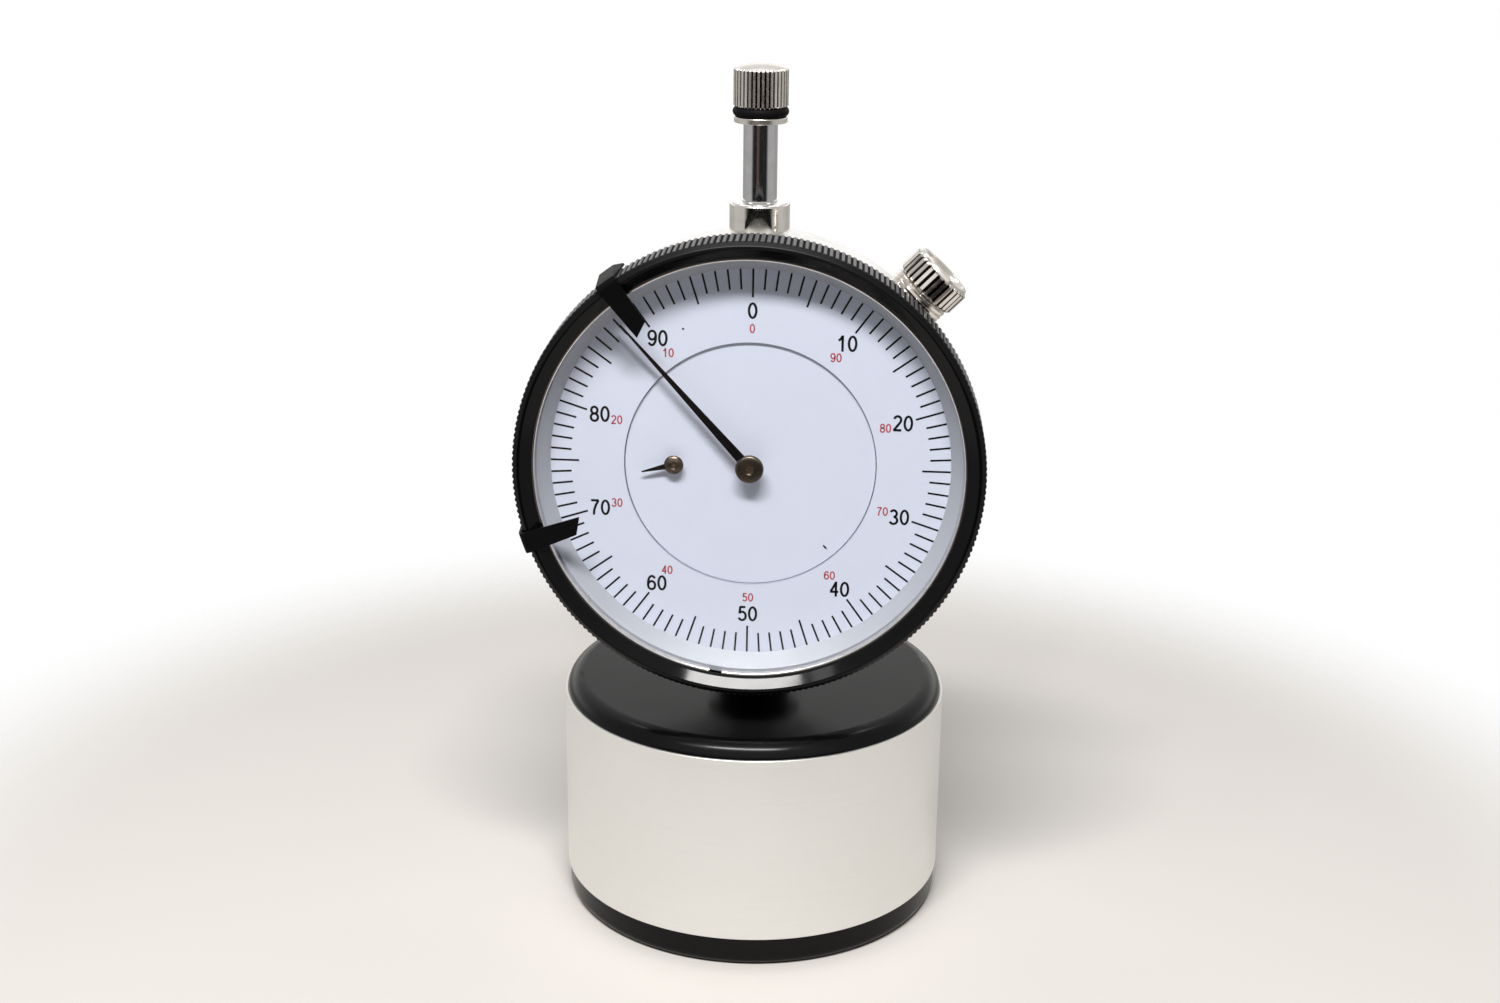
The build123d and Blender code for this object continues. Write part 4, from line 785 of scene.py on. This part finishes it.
def spun(points, rounds, steps=ROUND_STEPS, sweep=tau):
    """A section carried round the Z axis; less than a full turn leaves two flat ends."""
    bm = section(points, rounds)
    bmesh.ops.delete(bm, geom=bm.faces[:], context="FACES_ONLY")
    on_axis = [edge for edge in bm.edges if all(abs(vert.co.x) < 1e-6 for vert in edge.verts)]
    bmesh.ops.delete(bm, geom=on_axis, context="EDGES")
    full = sweep > tau - 1e-6
    bmesh.ops.spin(
        bm,
        geom=bm.verts[:] + bm.edges[:],
        cent=(0, 0, 0),
        axis=(0, 0, 1),
        angle=sweep,
        steps=steps,
        use_merge=full,
    )
    bmesh.ops.remove_doubles(bm, verts=bm.verts[:], dist=1e-4)
    if not full:
        bmesh.ops.holes_fill(bm, edges=[edge for edge in bm.edges if edge.is_boundary], sides=0)
    return bm


def on_dial(bm):
    """Turns a piece made along Z so that it lies along Y, on the dial's axis."""
    place = Matrix.Translation((0, 0, AXIS_Z)) @ Matrix.Rotation(-pi / 2, 4, "X")
    bmesh.ops.transform(bm, matrix=place, verts=bm.verts[:])
    return bm


def along_lock(bm):
    """Turns a piece made along Z to the lock screw's direction."""
    place = Matrix.Translation((0, LOCK_Y, AXIS_Z)) @ Matrix.Rotation(LOCK_BEARING, 4, "Y")
    bmesh.ops.transform(bm, matrix=place, verts=bm.verts[:])
    return bm


# %% [markdown]
# Shading across a rounded edge should leave the flat faces beside it flat. The Weighted Normal
# modifier does that, but it takes very small faces for nothing, so it is applied while the mesh is
# still in millimetres. Sharp creases are marked first, and a cut through the piece comes before both.

# %% The last steps of every new piece


def apply_modifier(piece, modifier):
    """Makes a modifier's result the piece's own mesh."""
    with bpy.context.temp_override(object=piece, active_object=piece):
        bpy.ops.object.modifier_apply(modifier=modifier.name)


def plain_object(bm, name):
    """A new object from a bmesh."""
    bmesh.ops.recalc_face_normals(bm, faces=bm.faces[:])
    mesh = bpy.data.meshes.new(name)
    bm.to_mesh(mesh)
    bm.free()
    made = bpy.data.objects.new(name, mesh)
    scene.collection.objects.link(made)
    return made


def add_piece(bm, name, body, material, stands_for=(), crease=34.0, cutter=None):
    """Cuts and shades a piece, scales it to metres and lets it ride on its body."""
    piece = plain_object(bm, name)
    if cutter:
        cut = piece.modifiers.new("cut", "BOOLEAN")
        cut.operation = "DIFFERENCE"
        cut.object = cutter
        apply_modifier(piece, cut)
        bpy.data.objects.remove(cutter)
    piece.data.shade_smooth()
    piece.data.set_sharp_from_angle(angle=radians(crease))
    weighted = piece.modifiers.new("weighted", "WEIGHTED_NORMAL")
    weighted.keep_sharp = True
    weighted.weight = 100
    apply_modifier(piece, weighted)
    piece.data.transform(Matrix.Scale(MM, 4))
    piece.data.materials.append(material)
    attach(piece, body)
    if stands_for:
        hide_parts(*stands_for)
    print(name, "has", len(piece.data.polygons), "faces")
    return piece


# %% [markdown]
# Knurls are straight ribs round a rim. The blank is spun with several steps to each rib, and then
# the columns of points that lie in a groove are drawn inwards. The pattern is a short list of
# depths, from 0 on a rib's top to 1 at the bottom of its groove, repeated all the way round.

# %% Ribs round a rim


def ribbed(bm, pattern, ribs, depth, low, high, least_radius):
    """Presses grooves into the wall between two heights, outside a radius."""
    for vert in bm.verts:
        radius = vert.co.xy.length
        if low - 1e-4 <= vert.co.z <= high + 1e-4 and radius > least_radius:
            bearing = atan2(vert.co.x, vert.co.y) % tau
            column = round(bearing / tau * ribs * len(pattern)) % len(pattern)
            vert.co.xy *= 1.0 - depth * pattern[column] / radius
    return bm


# %% [markdown]
# The bezel is one black turned ring. Its front has a sloped inner face, which mirrors the lamp at
# the bottom, then a narrow crest, and 240 fine ribs round the rim. Behind them is a plain skirt.

# %% Bezel
BEZEL_RIBS = 240
RIB_PATTERN = (0, 0, 0, 0.7, 1, 0.7)
RIB_DEPTH = 0.17
RING_GROOVE = limits("crystal_ring")[0].y
CRYSTAL_FACE = limits("crystal")[0].y
CRYSTAL_EDGE = limits("crystal")[1].x


def bezel():
    """The turned ring with its sloped inner face, its ribs and the seat behind them."""
    groove = limits("crystal_ring")[1].x
    window, bore, skirt = 26.45, 26.01, 27.5
    slope_foot, crest_from, crest_to = 26.74, 27.83, 28.1
    foot = BEZEL_TIP - RIB_DEPTH
    seat = limits("rehaut")[0].y + 0.7
    points = [
        (window, RING_GROOVE - 0.15),
        (slope_foot, RING_GROOVE - 0.33),
        (crest_from, BEZEL_FRONT),
        (crest_to, BEZEL_FRONT),
        (foot, RIB_FRONT - 0.08),
        (BEZEL_TIP, RIB_FRONT + 0.05),
        (BEZEL_TIP, RIB_BACK - 0.1),
        (foot, RIB_BACK),
        (skirt, RIB_BACK),
        (skirt, BEZEL_BACK),
        (bore, BEZEL_BACK),
        (bore, seat),
        (CRYSTAL_EDGE, seat),
        (CRYSTAL_EDGE, CRYSTAL_FACE),
        (groove, CRYSTAL_FACE),
        (groove, RING_GROOVE),
        (window, RING_GROOVE),
    ]
    steps = BEZEL_RIBS * len(RIB_PATTERN)
    bm = spun(points, {2: 0.1, 3: 0.16, 9: 0.15}, steps)
    ribbed(bm, RIB_PATTERN, BEZEL_RIBS, RIB_DEPTH, RIB_FRONT + 0.02, RIB_BACK - 0.05, BEZEL_TIP - 0.1)
    return on_dial(bm)


add_piece(bezel(), "bezel_ring", "bezel_group", BEZEL_BLACK, ["bezel"], 30.0)

# %% [markdown]
# A split wire ring holds the crystal. It springs into a groove, and its gap shows near six o'clock.
# Spinning by less than a full turn and filling the two open ends makes it.

# %% Split ring
RING_GAP_BEARING = radians(188.5)
RING_GAP = 1.6


def split_ring():
    """Most of a turn of flat wire, with its gap at a bearing."""
    ring_low, ring_high = limits("crystal_ring")
    inner, outer = 26.15, ring_high.x
    points = [(inner, ring_low.y), (outer, ring_low.y), (outer, ring_high.y), (inner, ring_high.y)]
    gap = RING_GAP / inner
    bm = spun(points, dict.fromkeys(range(4), 0.2), ROUND_STEPS, tau - gap)
    # The section starts at +X, which is three o'clock, and spins towards +Y, which becomes down.
    turn = RING_GAP_BEARING - pi / 2 + gap / 2
    bmesh.ops.rotate(bm, cent=(0, 0, 0), matrix=Matrix.Rotation(turn, 3, "Z"), verts=bm.verts[:])
    return on_dial(bm)


add_piece(split_ring(), "split_ring", "bezel_group", BRIGHT_RING, ["crystal_ring"])

# %% [markdown]
# The lifting cap sits on top of the rod, and a finger raises it. Its ribs have flat tops with V
# grooves, and its dome is low. A formula gives the dome, because it falls more steeply at its edge
# than a low arc of a circle does. The rest is straight lines, with two corners rounded at the flange.

# %% Lifting cap
CAP_RIBS = 38
CAP_PATTERN = (0, 0, 0, 0, 0, 0.5, 1, 0.5)
CAP_RIB_DEPTH = 0.28


def lifting_cap():
    """The cap with its flange, the waist that the rubber ring sits on, and its ribs."""
    bottom, top = cap_low.z, cap_high.z
    flange, flange_top = cap_high.x - 0.08, bottom + 0.73
    waist = 2.26
    tip, ribs_from, ribs_to = CAP_KNURL
    dome = []
    for step in range(1, 13):
        share = 1 - step / 12
        dome.append((tip * share, ribs_to + (top - ribs_to) * (1 - share**2) ** 0.8))
    points = [
        (0, bottom),
        (flange, bottom),
        (flange, flange_top),
        (waist, flange_top),
        (waist, ribs_from),
        (tip - 0.15, ribs_from),
        (tip, ribs_from + 0.12),
        (tip, ribs_to),
        *dome,
    ]
    bm = spun(points, {1: 0.12, 2: 0.12}, CAP_RIBS * len(CAP_PATTERN))
    return ribbed(bm, CAP_PATTERN, CAP_RIBS, CAP_RIB_DEPTH, ribs_from + 0.1, ribs_to, tip - 0.1)


add_piece(lifting_cap(), "lifting_cap", "plunger", CAP_NICKEL, ["spindle_cap"], 26.0)

# %% [markdown]
# A black rubber ring bulges out of the groove under the cap's ribs. It is a true torus: a circle is
# stood up beside the axis and spun once round, which keeps its section round everywhere.

# %% Rubber ring


def rubber_ring():
    """A round section carried round the cap."""
    ring_low, ring_high = limits("cap_o_ring")
    half = (ring_high.z - ring_low.z) / 2
    middle_z = (ring_high.z + ring_low.z) / 2
    middle = ring_high.x - half
    bm = bmesh.new()
    made = bmesh.ops.create_circle(bm, cap_ends=False, radius=half, segments=24)
    upright = Matrix.Translation((middle, 0, middle_z)) @ Matrix.Rotation(pi / 2, 4, "X")
    bmesh.ops.transform(bm, matrix=upright, verts=made["verts"])
    bmesh.ops.spin(
        bm,
        geom=bm.verts[:] + bm.edges[:],
        cent=(0, 0, 0),
        axis=(0, 0, 1),
        angle=tau,
        steps=96,
        use_merge=True,
    )
    bmesh.ops.remove_doubles(bm, verts=bm.verts[:], dist=1e-4)
    return bm


add_piece(rubber_ring(), "rubber_ring", "plunger", RUBBER, ["cap_o_ring"], 60.0)

# %% [markdown]
# The collar is the polished bushing that guides the rod at the top of the case. A spigot goes through
# the case's wall, and a wider head stands on it. Both bushings are turned alike, so they share sizes.

# %% Collar
BUSHING_SPIGOT, BUSHING_SEAT = 3.0, 26.2
collar_low, collar_high = limits("top_bushing")


def collar():
    """The bushing that the rod leaves the case through, with its rounded rim."""
    radius = collar_high.x
    bore, chamfer = 2.21, 0.25
    seat = AXIS_Z + BUSHING_SEAT
    points = [
        (bore, collar_low.z),
        (BUSHING_SPIGOT, collar_low.z),
        (BUSHING_SPIGOT, seat),
        (radius, seat),
        (radius, collar_high.z),
        (bore + chamfer, collar_high.z),
        (bore, collar_high.z - chamfer),
    ]
    return spun(points, {4: 0.35}, 128)


add_piece(collar(), "collar", "gauge", COLLAR_NICKEL, ["top_bushing"])

# %% [markdown]
# The lock screw points up and to the right. Its head has 30 coarse ribs, a taper at the outer end
# and a shallow dish, and it runs in a bushing with three fine ring grooves.

# %% Lock screw and its bushing
LOCK_RIBS = 30
LOCK_PATTERN = (0, 0, 0, 0, 0, 0.6, 1, 0.6)
KNOB_RADIUS, KNOB_RIBS_FROM, KNOB_RIBS_TO = KNOB_KNURL
KNOB_FROM, KNOB_TO = 29.6, 33.1


def lock_head():
    """The lock screw: its pointed shank, the ribbed head and the dish in its end."""
    rib_depth, edge = 0.36, 0.3
    point, shank = 0.8, 1.5
    point_at, shank_from = 24.95, 25.75
    rim = 3.65
    dish, dish_depth = 3.1, 0.35
    points = [
        (0, point_at),
        (point, point_at),
        (shank, shank_from),
        (shank, KNOB_FROM),
        (KNOB_RADIUS - edge, KNOB_FROM),
        (KNOB_RADIUS, KNOB_FROM + edge),
        (KNOB_RADIUS, KNOB_RIBS_TO - 0.1),
        (KNOB_RADIUS - edge, KNOB_RIBS_TO + 0.15),
        (rim, KNOB_TO),
        (dish, KNOB_TO),
        (dish - dish_depth, KNOB_TO - dish_depth),
        (0, KNOB_TO - dish_depth),
    ]
    bm = spun(points, {8: 0.12, 9: 0.1}, LOCK_RIBS * len(LOCK_PATTERN))
    ribbed(bm, LOCK_PATTERN, LOCK_RIBS, rib_depth, KNOB_RIBS_FROM, KNOB_RIBS_TO, KNOB_RADIUS - 0.1)
    return along_lock(bm)


def lock_bushing():
    """The bushing that the lock screw runs in, with its ring grooves."""
    bore, outer = 1.56, 3.8
    start, end, chamfer = 25.1, 29.45, 0.2
    seat = BUSHING_SEAT
    points = [(bore, start), (BUSHING_SPIGOT, start), (BUSHING_SPIGOT, seat), (outer, seat)]
    depth = 0.16
    for groove in (27.6, 28.2, 28.8):
        points += [(outer, groove - depth), (outer - depth, groove), (outer, groove + depth)]
    points += [(outer, end - chamfer), (outer - chamfer, end), (bore, end)]
    return along_lock(spun(points, {}, 128))


add_piece(lock_head(), "lock_screw_head", "lock_knob", LOCK_NICKEL, ["lock_screw"], 26.0)
add_piece(lock_bushing(), "lock_screw_bushing", "gauge", LOCK_NICKEL, ["lock_bushing"])

# %% [markdown]
# The label band is a strip bent round the base, with a narrow seam at the back and a round window
# over the set screw. It is spun from one side of the seam to the other, and a boolean cuts the window.

# %% Label band
SEAM_BEARING = radians(35)
SEAM_WIDTH = 0.4
WINDOW_RADIUS = 3.0
WINDOW_Z = 24.0
WINDOW_CUT = (15, 30)


def label_band():
    """A strip bent round the base, open at its seam."""
    band_low, band_high = limits("label_band")
    outer = band_high.x
    thickness = 0.3
    inner = outer - thickness
    points = [(inner, band_low.z), (outer, band_low.z), (outer, band_high.z), (inner, band_high.z)]
    gap = SEAM_WIDTH / outer
    bm = spun(points, {1: 0.1, 2: 0.1}, 256, tau - gap)
    # The seam lies at its bearing from +Y, turned towards -X.
    turn = pi / 2 + SEAM_BEARING + gap / 2
    bmesh.ops.rotate(bm, cent=(0, 0, 0), matrix=Matrix.Rotation(turn, 3, "Z"), verts=bm.verts[:])
    return bm


def hole_cutter(radius, y_span, z):
    """A round bar along Y, to cut a hole with."""
    bm = bmesh.new()
    front, back = y_span
    place = Matrix.Translation((0, (front + back) / 2, z)) @ Matrix.Rotation(pi / 2, 4, "X")
    bmesh.ops.create_cone(
        bm,
        cap_ends=True,
        segments=64,
        radius1=radius,
        radius2=radius,
        depth=back - front,
        matrix=place,
    )
    return plain_object(bm, "cutter")


window = hole_cutter(WINDOW_RADIUS, WINDOW_CUT, WINDOW_Z)
add_piece(
    label_band(), "label_foil_band", "gauge", LABEL_FOIL, ["label_band"], cutter=window
)

# %% [markdown]
# The clips and the hands are cut and bent from sheet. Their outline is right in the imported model, but
# its edges are knife sharp. A copy of the mesh is merged, flattened back to whole faces, and every
# sharp edge gets a small bevel, which is what catches the light on real sheet. The cover's screws get
# the same, and the bevel round their heads is what tells them from the cover.

# %% Softened copies of sheet pieces


def softened(node, width, sharp=40.0):
    """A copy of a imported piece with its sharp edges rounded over."""
    bm = bmesh.new()
    bm.from_mesh(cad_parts[node].data)
    bmesh.ops.scale(bm, vec=(1 / MM, 1 / MM, 1 / MM), verts=bm.verts[:])
    bmesh.ops.remove_doubles(bm, verts=bm.verts[:], dist=1e-3)
    bmesh.ops.dissolve_limit(
        bm, angle_limit=radians(0.5), verts=bm.verts[:], edges=bm.edges[:], use_dissolve_boundaries=False
    )
    inner = [edge for edge in bm.edges if len(edge.link_faces) == 2]
    edges = [edge for edge in inner if edge.calc_face_angle() > radians(sharp)]
    bmesh.ops.bevel(
        bm,
        geom=edges,
        offset=width,
        offset_type="OFFSET",
        segments=2,
        profile=0.5,
        affect="EDGES",
        clamp_overlap=True,
        material=-1,
    )
    return bm


CLIP_EDGE = 0.06
HAND_EDGE = 0.03
SCREW_EDGE = 0.12
# Each row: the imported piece, how wide its edges are rounded, the new piece, its body, finish and slot.
SOFTENED_PIECES = [
    ("marker_upper", CLIP_EDGE, "clip_upper", "upper_marker", CLIP_BLACK, "marker_black"),
    ("marker_lower", CLIP_EDGE, "clip_lower", "lower_marker", CLIP_BLACK, "marker_black"),
    ("main_hand", HAND_EDGE, "long_hand_blade", "long_hand", HAND_BLACK, "hand_black"),
    ("counter_hand", HAND_EDGE, "count_hand_blade", "count_hand", HAND_BLACK, "hand_black"),
    ("back_cover_screws", SCREW_EDGE, "cover_screws", "gauge", PLAIN_STEEL, None),
]
for packed, edge, name, body, material, slot in SOFTENED_PIECES:
    add_piece(softened(packed, edge), name, body, material, [packed])

# %% [markdown]
# Each hand sits on a turned hub. The long hand's hub is a flat button with a rounded rim and a
# dimple round the end of its arbor; the small one is higher crowned, so it has a bright spot on top.

# %% Hubs


def turned_hub(node, neck, seat_y, crown, rim_round, bore):
    """A hub whose face rises by the crown, with a coned dimple in the middle."""
    low, high = limits(node)
    head = (high.x - low.x) / 2
    front, back = low.y, high.y
    dimple, dimple_depth = bore + 0.16, 0.3
    points = [
        (bore, front + dimple_depth),
        (dimple, front),
        (head * 0.6, front + crown * 0.2),
        (head, front + crown),
        (head, seat_y),
        (neck, seat_y),
        (neck, back),
        (bore, back),
    ]
    bm = on_dial(spun(points, {1: 0.08, 2: 0.25, 3: rim_round}, 96))
    place = ((low.x + high.x) / 2, 0, (low.z + high.z) / 2 - AXIS_Z)
    bmesh.ops.translate(bm, vec=place, verts=bm.verts[:])
    return bm


hand_front = limits("main_hand")[0].y
count_front = limits("counter_hand")[0].y
long_hub = turned_hub(
    "main_hand_hub", neck=0.95, seat_y=hand_front, crown=0.12, rim_round=0.28, bore=0.42
)
add_piece(long_hub, "long_hand_hub", "long_hand", HUB_BRONZE, ["main_hand_hub"])
count_hub = turned_hub("counter_hub", neck=0.65, seat_y=count_front, crown=0.3, rim_round=0.3, bore=0.32)
add_piece(count_hub, "count_hand_hub", "count_hand", HUB_BRONZE, ["counter_hub"])

# %% [markdown]
# The dial's print is ink with a little body, so it is made as flat shapes raised by a hundredth of a
# millimetre. A block of four short marks and a long one is drawn once and spun twenty times.

# %% Marks round the dial
DIAL_FACE = limits("dial_ring")[0].y
DIAL_TURN = radians(0.36)
INK = 0.012
MARK_OUTER = 24.58
LONG_MARK_FROM, SHORT_MARK_FROM = 21.07, 22.05
MARK_WIDTH = 0.24
MARKS = 100
MARKS_TO_LONG = 5


def raised(bm):
    """Gives flat print its thickness, towards the reader."""
    made = bmesh.ops.extrude_face_region(bm, geom=bm.faces[:])
    front = [item for item in made["geom"] if isinstance(item, bmesh.types.BMVert)]
    bmesh.ops.translate(bm, vec=(0, -INK, 0), verts=front)
    return bm


def bar_at(bm, bearing, start, end, width):
    """A flat bar that points away from the dial's middle."""
    made = bmesh.ops.create_grid(bm, x_segments=1, y_segments=1, size=0.5)["verts"]
    bmesh.ops.scale(bm, vec=(width, end - start, 1), verts=made)
    bmesh.ops.translate(bm, vec=(0, (start + end) / 2, 0), verts=made)
    place = (
        Matrix.Translation((0, DIAL_FACE, AXIS_Z))
        @ Matrix.Rotation(bearing, 4, "Y")
        @ Matrix.Rotation(pi / 2, 4, "X")
    )
    bmesh.ops.transform(bm, matrix=place, verts=made)


def dial_marks():
    """One long mark and four short ones, repeated round the dial."""
    bm = bmesh.new()
    step = tau / MARKS
    for mark in range(MARKS_TO_LONG):
        start = SHORT_MARK_FROM if mark else LONG_MARK_FROM
        bar_at(bm, DIAL_TURN + mark * step, start, MARK_OUTER, MARK_WIDTH)
    bmesh.ops.spin(
        bm,
        geom=bm.verts[:] + bm.edges[:] + bm.faces[:],
        cent=(0, 0, AXIS_Z),
        axis=(0, 1, 0),
        angle=tau,
        steps=MARKS // MARKS_TO_LONG,
        use_duplicate=True,
    )
    bmesh.ops.remove_doubles(bm, verts=bm.verts[:], dist=1e-3)
    return raised(bm)


add_piece(dial_marks(), "dial_marks", "bezel_group", INK_BLACK)

# %% [markdown]
# The figures are drawn as a sign writer would draw them: a flat pen of one width follows each
# figure's centre line. Round parts are oval arcs, and every sharp corner starts a new stroke. A
# stroke is a strip made by the grid operator, bent so that its middle runs along the line.

# %% Figures drawn with a flat pen
PEN = 0.15
FIGURE_MIDDLE = (0.22, 0.44)
FIGURE_ADVANCE = 0.65


def arc(middle, radii, start, end):
    """Points on an oval; angles in degrees, 0 to the right and growing anticlockwise."""
    steps = 16
    angles = [radians(start + (end - start) * step / steps) for step in range(steps + 1)]
    return [(middle[0] + radii[0] * cos(angle), middle[1] + radii[1] * sin(angle)) for angle in angles]


def half_turned(strokes):
    """The same figure upside down."""
    across, upwards = 2 * FIGURE_MIDDLE[0], 2 * FIGURE_MIDDLE[1]
    return [[(across - x, upwards - y) for x, y in line] for line in strokes]


SIX = [arc((0.22, 0.27), (0.22, 0.27), 0, 360), [(0.0, 0.27), *arc((0.24, 0.44), (0.24, 0.44), 180, 40)]]
FIGURES = {
    "0": [arc(FIGURE_MIDDLE, FIGURE_MIDDLE, 0, 360)],
    "1": [[(0.03, 0.62), (0.16, 0.72), (0.27, 0.9)], [(0.27, 0.94), (0.27, -0.06)]],
    "2": [[*arc((0.22, 0.65), (0.21, 0.23), 165, -35), (0.0, 0.0)], [(-0.04, 0.0), (0.46, 0.0)]],
    "3": [arc((0.2, 0.67), (0.19, 0.21), 155, -90), arc((0.2, 0.23), (0.23, 0.23), 90, -160)],
    "4": [[(0.33, 0.94), (0.33, -0.06)], [(0.34, 0.9), (0.0, 0.26)], [(-0.03, 0.26), (0.48, 0.26)]],
    "5": [
        [(0.42, 0.88), (0.06, 0.88)],
        [(0.1, 0.9), (0.05, 0.44)],
        arc((0.21, 0.28), (0.23, 0.28), 140, -155),
    ],
    "6": SIX,
    "7": [[(-0.02, 0.88), (0.46, 0.88)], [(0.44, 0.88), (0.28, 0.58), (0.18, 0.3), (0.14, -0.06)]],
    "8": [arc((0.22, 0.665), (0.19, 0.215), 0, 360), arc((0.22, 0.225), (0.22, 0.235), 0, 360)],
    "9": half_turned(SIX),
}


def pen_stroke(bm, line):
    """A flat strip of the pen's width along a line; an oval closes on itself."""
    points = [Vector((x, y, 0)) for x, y in line]
    last = len(points) - 1
    closed = (points[0] - points[last]).length < 1e-6
    strip = bmesh.ops.create_grid(bm, x_segments=last, y_segments=1, size=1.0)["verts"]
    for vert in strip:
        place = round((vert.co.x + 1) / 2 * last)
        before = points[last - 1] if closed and place == 0 else points[max(place - 1, 0)]
        after = points[1] if closed and place == last else points[min(place + 1, last)]
        along = (after - before).normalized()
        side = PEN / 2 if vert.co.y > 0 else -PEN / 2
        vert.co = points[place] + Vector((-along.y, along.x, 0)) * side
    return strip


print("figures drawn:", "".join(sorted(FIGURES)))

# %% [markdown]
# Two rows of numbers stand round the dial: large black ones that count clockwise, and small red ones
# that count back. All stand upright, as the reader holds the gauge. One function draws both rows, and
# only the height, the circle and the direction differ.

# %% Numbers round the dial
BLACK_NUMBER_CIRCLE, BLACK_NUMBER_HEIGHT = 19.45, 2.0
RED_NUMBER_CIRCLE, RED_NUMBER_HEIGHT = 17.25, 1.12


def add_number(bm, text, height, circle, bearing):
    """Draws a number upright with its middle at a bearing on a circle."""
    drawn = []
    for place, figure in enumerate(text):
        for line in FIGURES[figure]:
            drawn += pen_stroke(bm, [(x + place * FIGURE_ADVANCE, y) for x, y in line])
    middle = Vector((FIGURE_MIDDLE[0] + (len(text) - 1) * FIGURE_ADVANCE / 2, FIGURE_MIDDLE[1], 0))
    place = (
        Matrix.Translation((circle * sin(bearing), DIAL_FACE, AXIS_Z + circle * cos(bearing)))
        @ Matrix.Rotation(pi / 2, 4, "X")
        @ Matrix.Scale(height, 4)
        @ Matrix.Translation(-middle)
    )
    bmesh.ops.transform(bm, matrix=place, verts=drawn)


def number_ring(height, circle, step):
    """Ten numbers; step is 1 for a row that counts clockwise and -1 for one that counts back."""
    bm = bmesh.new()
    for place in range(10):
        number = place * step % 10
        add_number(bm, str(number * 10), height, circle, DIAL_TURN + place * tau / 10)
    bmesh.ops.remove_doubles(bm, verts=bm.verts[:], dist=1e-4)
    return raised(bm)


black_numbers = number_ring(BLACK_NUMBER_HEIGHT, BLACK_NUMBER_CIRCLE, 1)
add_piece(black_numbers, "black_numbers", "bezel_group", INK_BLACK)
red_numbers = number_ring(RED_NUMBER_HEIGHT, RED_NUMBER_CIRCLE, -1)
add_piece(red_numbers, "red_numbers", "bezel_group", INK_RED)

# %% [markdown]
# Two bits of dirt lie on the dial of the real gauge: a dot on the outer ring and a short hair on the
# inner disc. Each is a small oval, placed from the photograph, that lies on the sheet under it.

# %% Dirt on the dial
DOT_PLACE, DOT_SIZE = (-8.24, 17.01), (0.28, 0.25)
HAIR_PLACE, HAIR_SIZE = (9.4, -10.4), (0.75, 0.23)
HAIR_TURN = radians(45)


def fleck(place, size, turn, face):
    """A flat oval on the dial, turned clockwise as the reader sees it."""
    bm = bmesh.new()
    bmesh.ops.create_circle(bm, cap_ends=True, radius=0.5, segments=16)
    bmesh.ops.scale(bm, vec=(*size, 1), verts=bm.verts[:])
    lie = (
        Matrix.Translation((place[0], face, AXIS_Z + place[1]))
        @ Matrix.Rotation(turn, 4, "Y")
        @ Matrix.Rotation(pi / 2, 4, "X")
    )
    bmesh.ops.transform(bm, matrix=lie, verts=bm.verts[:])
    return raised(bm)


add_piece(fleck(DOT_PLACE, DOT_SIZE, 0.0, DIAL_FACE), "dirt_dot", "bezel_group", INK_BLACK)
disc_face = limits("dial_centre")[0].y
add_piece(fleck(HAIR_PLACE, HAIR_SIZE, HAIR_TURN, disc_face), "dirt_hair", "gauge", INK_BLACK)
